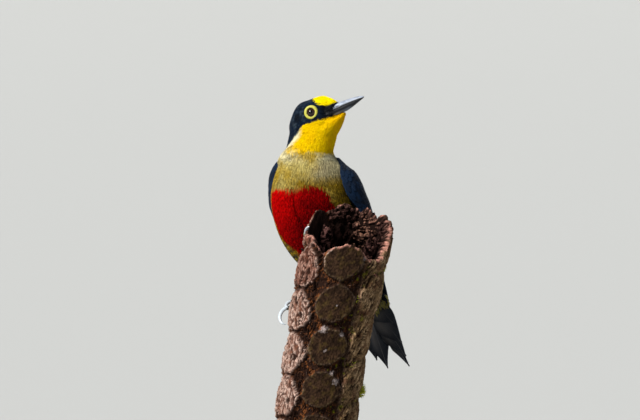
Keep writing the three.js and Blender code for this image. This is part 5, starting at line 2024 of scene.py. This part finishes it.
class MakeStand(bpy.types.Operator):
    """Add the base, rod and collar"""

    bl_idname = "woodpecker.make_stand"
    bl_label = "Stand"

    def execute(self, context):
        look = looks("stand")
        grain, brushed, long = (60, 600, 0.9), (400, 4000, 0.5), (0.25, 3, 3)
        wood = grained("stained_wood", look.wood, look.wood_dark, grain, 0.35, 0.05 * MM, long, coat=0.3)
        steel = grained("brushed_steel", look.steel, look.steel * 0.7, brushed, 0.3, 0.02 * MM, (1, 1, 0.1))
        steel.node_tree.nodes["Principled BSDF"].inputs["Metallic"].default_value = 1.0
        make_stand(wood, steel)
        return {"FINISHED"}


class MakeStem(bpy.types.Operator):
    """Add the broken stem with its fibres and moss"""

    bl_idname = "woodpecker.make_stem"
    bl_label = "Stem"

    def execute(self, context):
        brown, grain = (0.03, 0.012, 0.008), (900, 3000, 0.5)
        bark = grained("bark", None, (0.012, 0.006, 0.004), (900, 3000, 0.8), 0.92, 0.3 * MM, specular=0.05)
        rot = grained("rot", None, (0.004, 0.0015, 0.001), (900, 3200, 0.8), 0.95, 0.2 * MM, specular=0.03)
        fibre = grained("bark_fibre", None, brown, grain, 0.8, 0.08 * MM, specular=0.25)
        moss = grained("moss", None, (0.03, 0.05, 0.005), grain, 0.7, 0.05 * MM)
        make_stem(bark, rot, fibre, moss)
        return {"FINISHED"}


class MakeBody(bpy.types.Operator):
    """Add the skin and the coat of tufts over it"""

    bl_idname = "woodpecker.make_body"
    bl_label = "Body"

    def execute(self, context):
        skin = make_skin()
        colour, _ = marking(get_points(skin.data))
        # The skin under the coat is darker than the plumage: its downy base, and painted shade between the
        # tufts.
        paint(skin, colour * 0.7)
        make_coat(skin)
        bare = grained("skin", None, (0.02, 0.015, 0.01), (500, 2000, 0.4), 0.85, 0.1 * MM, specular=0.2)
        finish_piece(skin, bare, "buff_plumage", "head", "neck", "trunk", "thigh_left", "thigh_right")
        return {"FINISHED"}


class MakeWings(bpy.types.Operator):
    """Add both folded wings, feather by feather"""

    bl_idname = "woodpecker.make_wings"
    bl_label = "Wings"

    def execute(self, context):
        finish = plumage("wing_plumage", 0.5, 40, 0.35, 0.04 * MM, 0.08, (0.3, 0.5, 1.0))
        make_wing("left", 1, finish)
        make_wing("right", -1, finish)
        return {"FINISHED"}


class MakeTail(bpy.types.Operator):
    """Add the stiff tail feathers and their shafts"""

    bl_idname = "woodpecker.make_tail"
    bl_label = "Tail"

    def execute(self, context):
        finish = plumage("tail_plumage", 0.45, 60, 0.4, 0.06 * MM, 0.5, (0.7, 0.8, 1.0))
        shaft = grained("shaft", (0.10, 0.10, 0.11), (0.02, 0.02, 0.02), (300, 2000, 0.4), 0.35, 0.02 * MM)
        make_tail(finish, shaft)
        return {"FINISHED"}


class MakeBill(bpy.types.Operator):
    """Add both halves of the bill"""

    bl_idname = "woodpecker.make_bill"
    bl_label = "Bill"

    def execute(self, context):
        slate, black, stretch = (0.02, 0.022, 0.03), (0.004, 0.004, 0.004), (0.4, 0.4, 1.6)
        horn = grained("horn", None, slate, (500, 2500, 0.5), 0.42, 0.05 * MM, stretch, 0.2)
        bristle = grained("bristle", None, black, (900, 3000, 0.3), 0.8, 0.01 * MM, specular=0.06)
        make_bill(horn, bristle)
        return {"FINISHED"}


class MakeEyes(bpy.types.Operator):
    """Add the eyes, their lids and their bare rings"""

    bl_idname = "woodpecker.make_eyes"
    bl_label = "Eyes"

    def execute(self, context):
        eye, tree, shader = new_material("eye", 0.08, 0.3, coat=0.25)
        tree.links.new(marking_node(tree), shader.inputs["Base Color"])
        ring = grained("eye_ring", None, (0.35, 0.28, 0.03), (900, 3500, 0.35), 0.5, 0.06 * MM)
        make_eyes(eye, ring)
        return {"FINISHED"}


class MakeFeet(bpy.types.Operator):
    """Add the shanks, toes and claws"""

    bl_idname = "woodpecker.make_feet"
    bl_label = "Feet"

    def execute(self, context):
        scaly = grained("toe_skin", None, (0.06, 0.06, 0.035), (700, 3000, 0.6), 0.5, 0.06 * MM)
        horn = grained("claw_horn", None, (0.16, 0.17, 0.18), (500, 2500, 0.4), 0.22, 0.02 * MM)
        make_feet(scaly, horn)
        return {"FINISHED"}


OPERATORS = [MakeStage, MakeStand, MakeStem, MakeBody, MakeWings, MakeTail, MakeBill, MakeEyes, MakeFeet]


class WoodpeckerPanel(bpy.types.Panel):
    """The woodpecker's settings and the buttons that make its pieces"""

    bl_idname = "VIEW3D_PT_woodpecker"
    bl_label = "Woodpecker"
    bl_space_type = "VIEW_3D"
    bl_region_type = "UI"
    bl_category = "Woodpecker"

    def draw(self, context):
        for name, group in SETTINGS.items():
            box = self.layout.box()
            box.label(text=name.replace("_", " ").title())
            for key in group.__annotations__:
                box.prop(settings(name), key)
        for operator in OPERATORS:
            self.layout.operator(operator.bl_idname)


CLASSES = [*SETTINGS.values(), *OPERATORS, WoodpeckerPanel]


def register():
    """Registers the classes and puts the settings on the scene."""
    for cls in CLASSES:
        bpy.utils.register_class(cls)
    for name, group in SETTINGS.items():
        setattr(bpy.types.Scene, "woodpecker_" + name, bpy.props.PointerProperty(type=group))


def unregister():
    """Takes the settings and classes away again."""
    for name in SETTINGS:
        delattr(bpy.types.Scene, "woodpecker_" + name)
    for cls in reversed(CLASSES):
        bpy.utils.unregister_class(cls)


def main():
    """Makes every piece in order."""
    register()
    for operator in OPERATORS:
        group, name = operator.bl_idname.split(".")
        getattr(getattr(bpy.ops, group), name)()
    deselect()


if __name__ == "__main__":
    main()
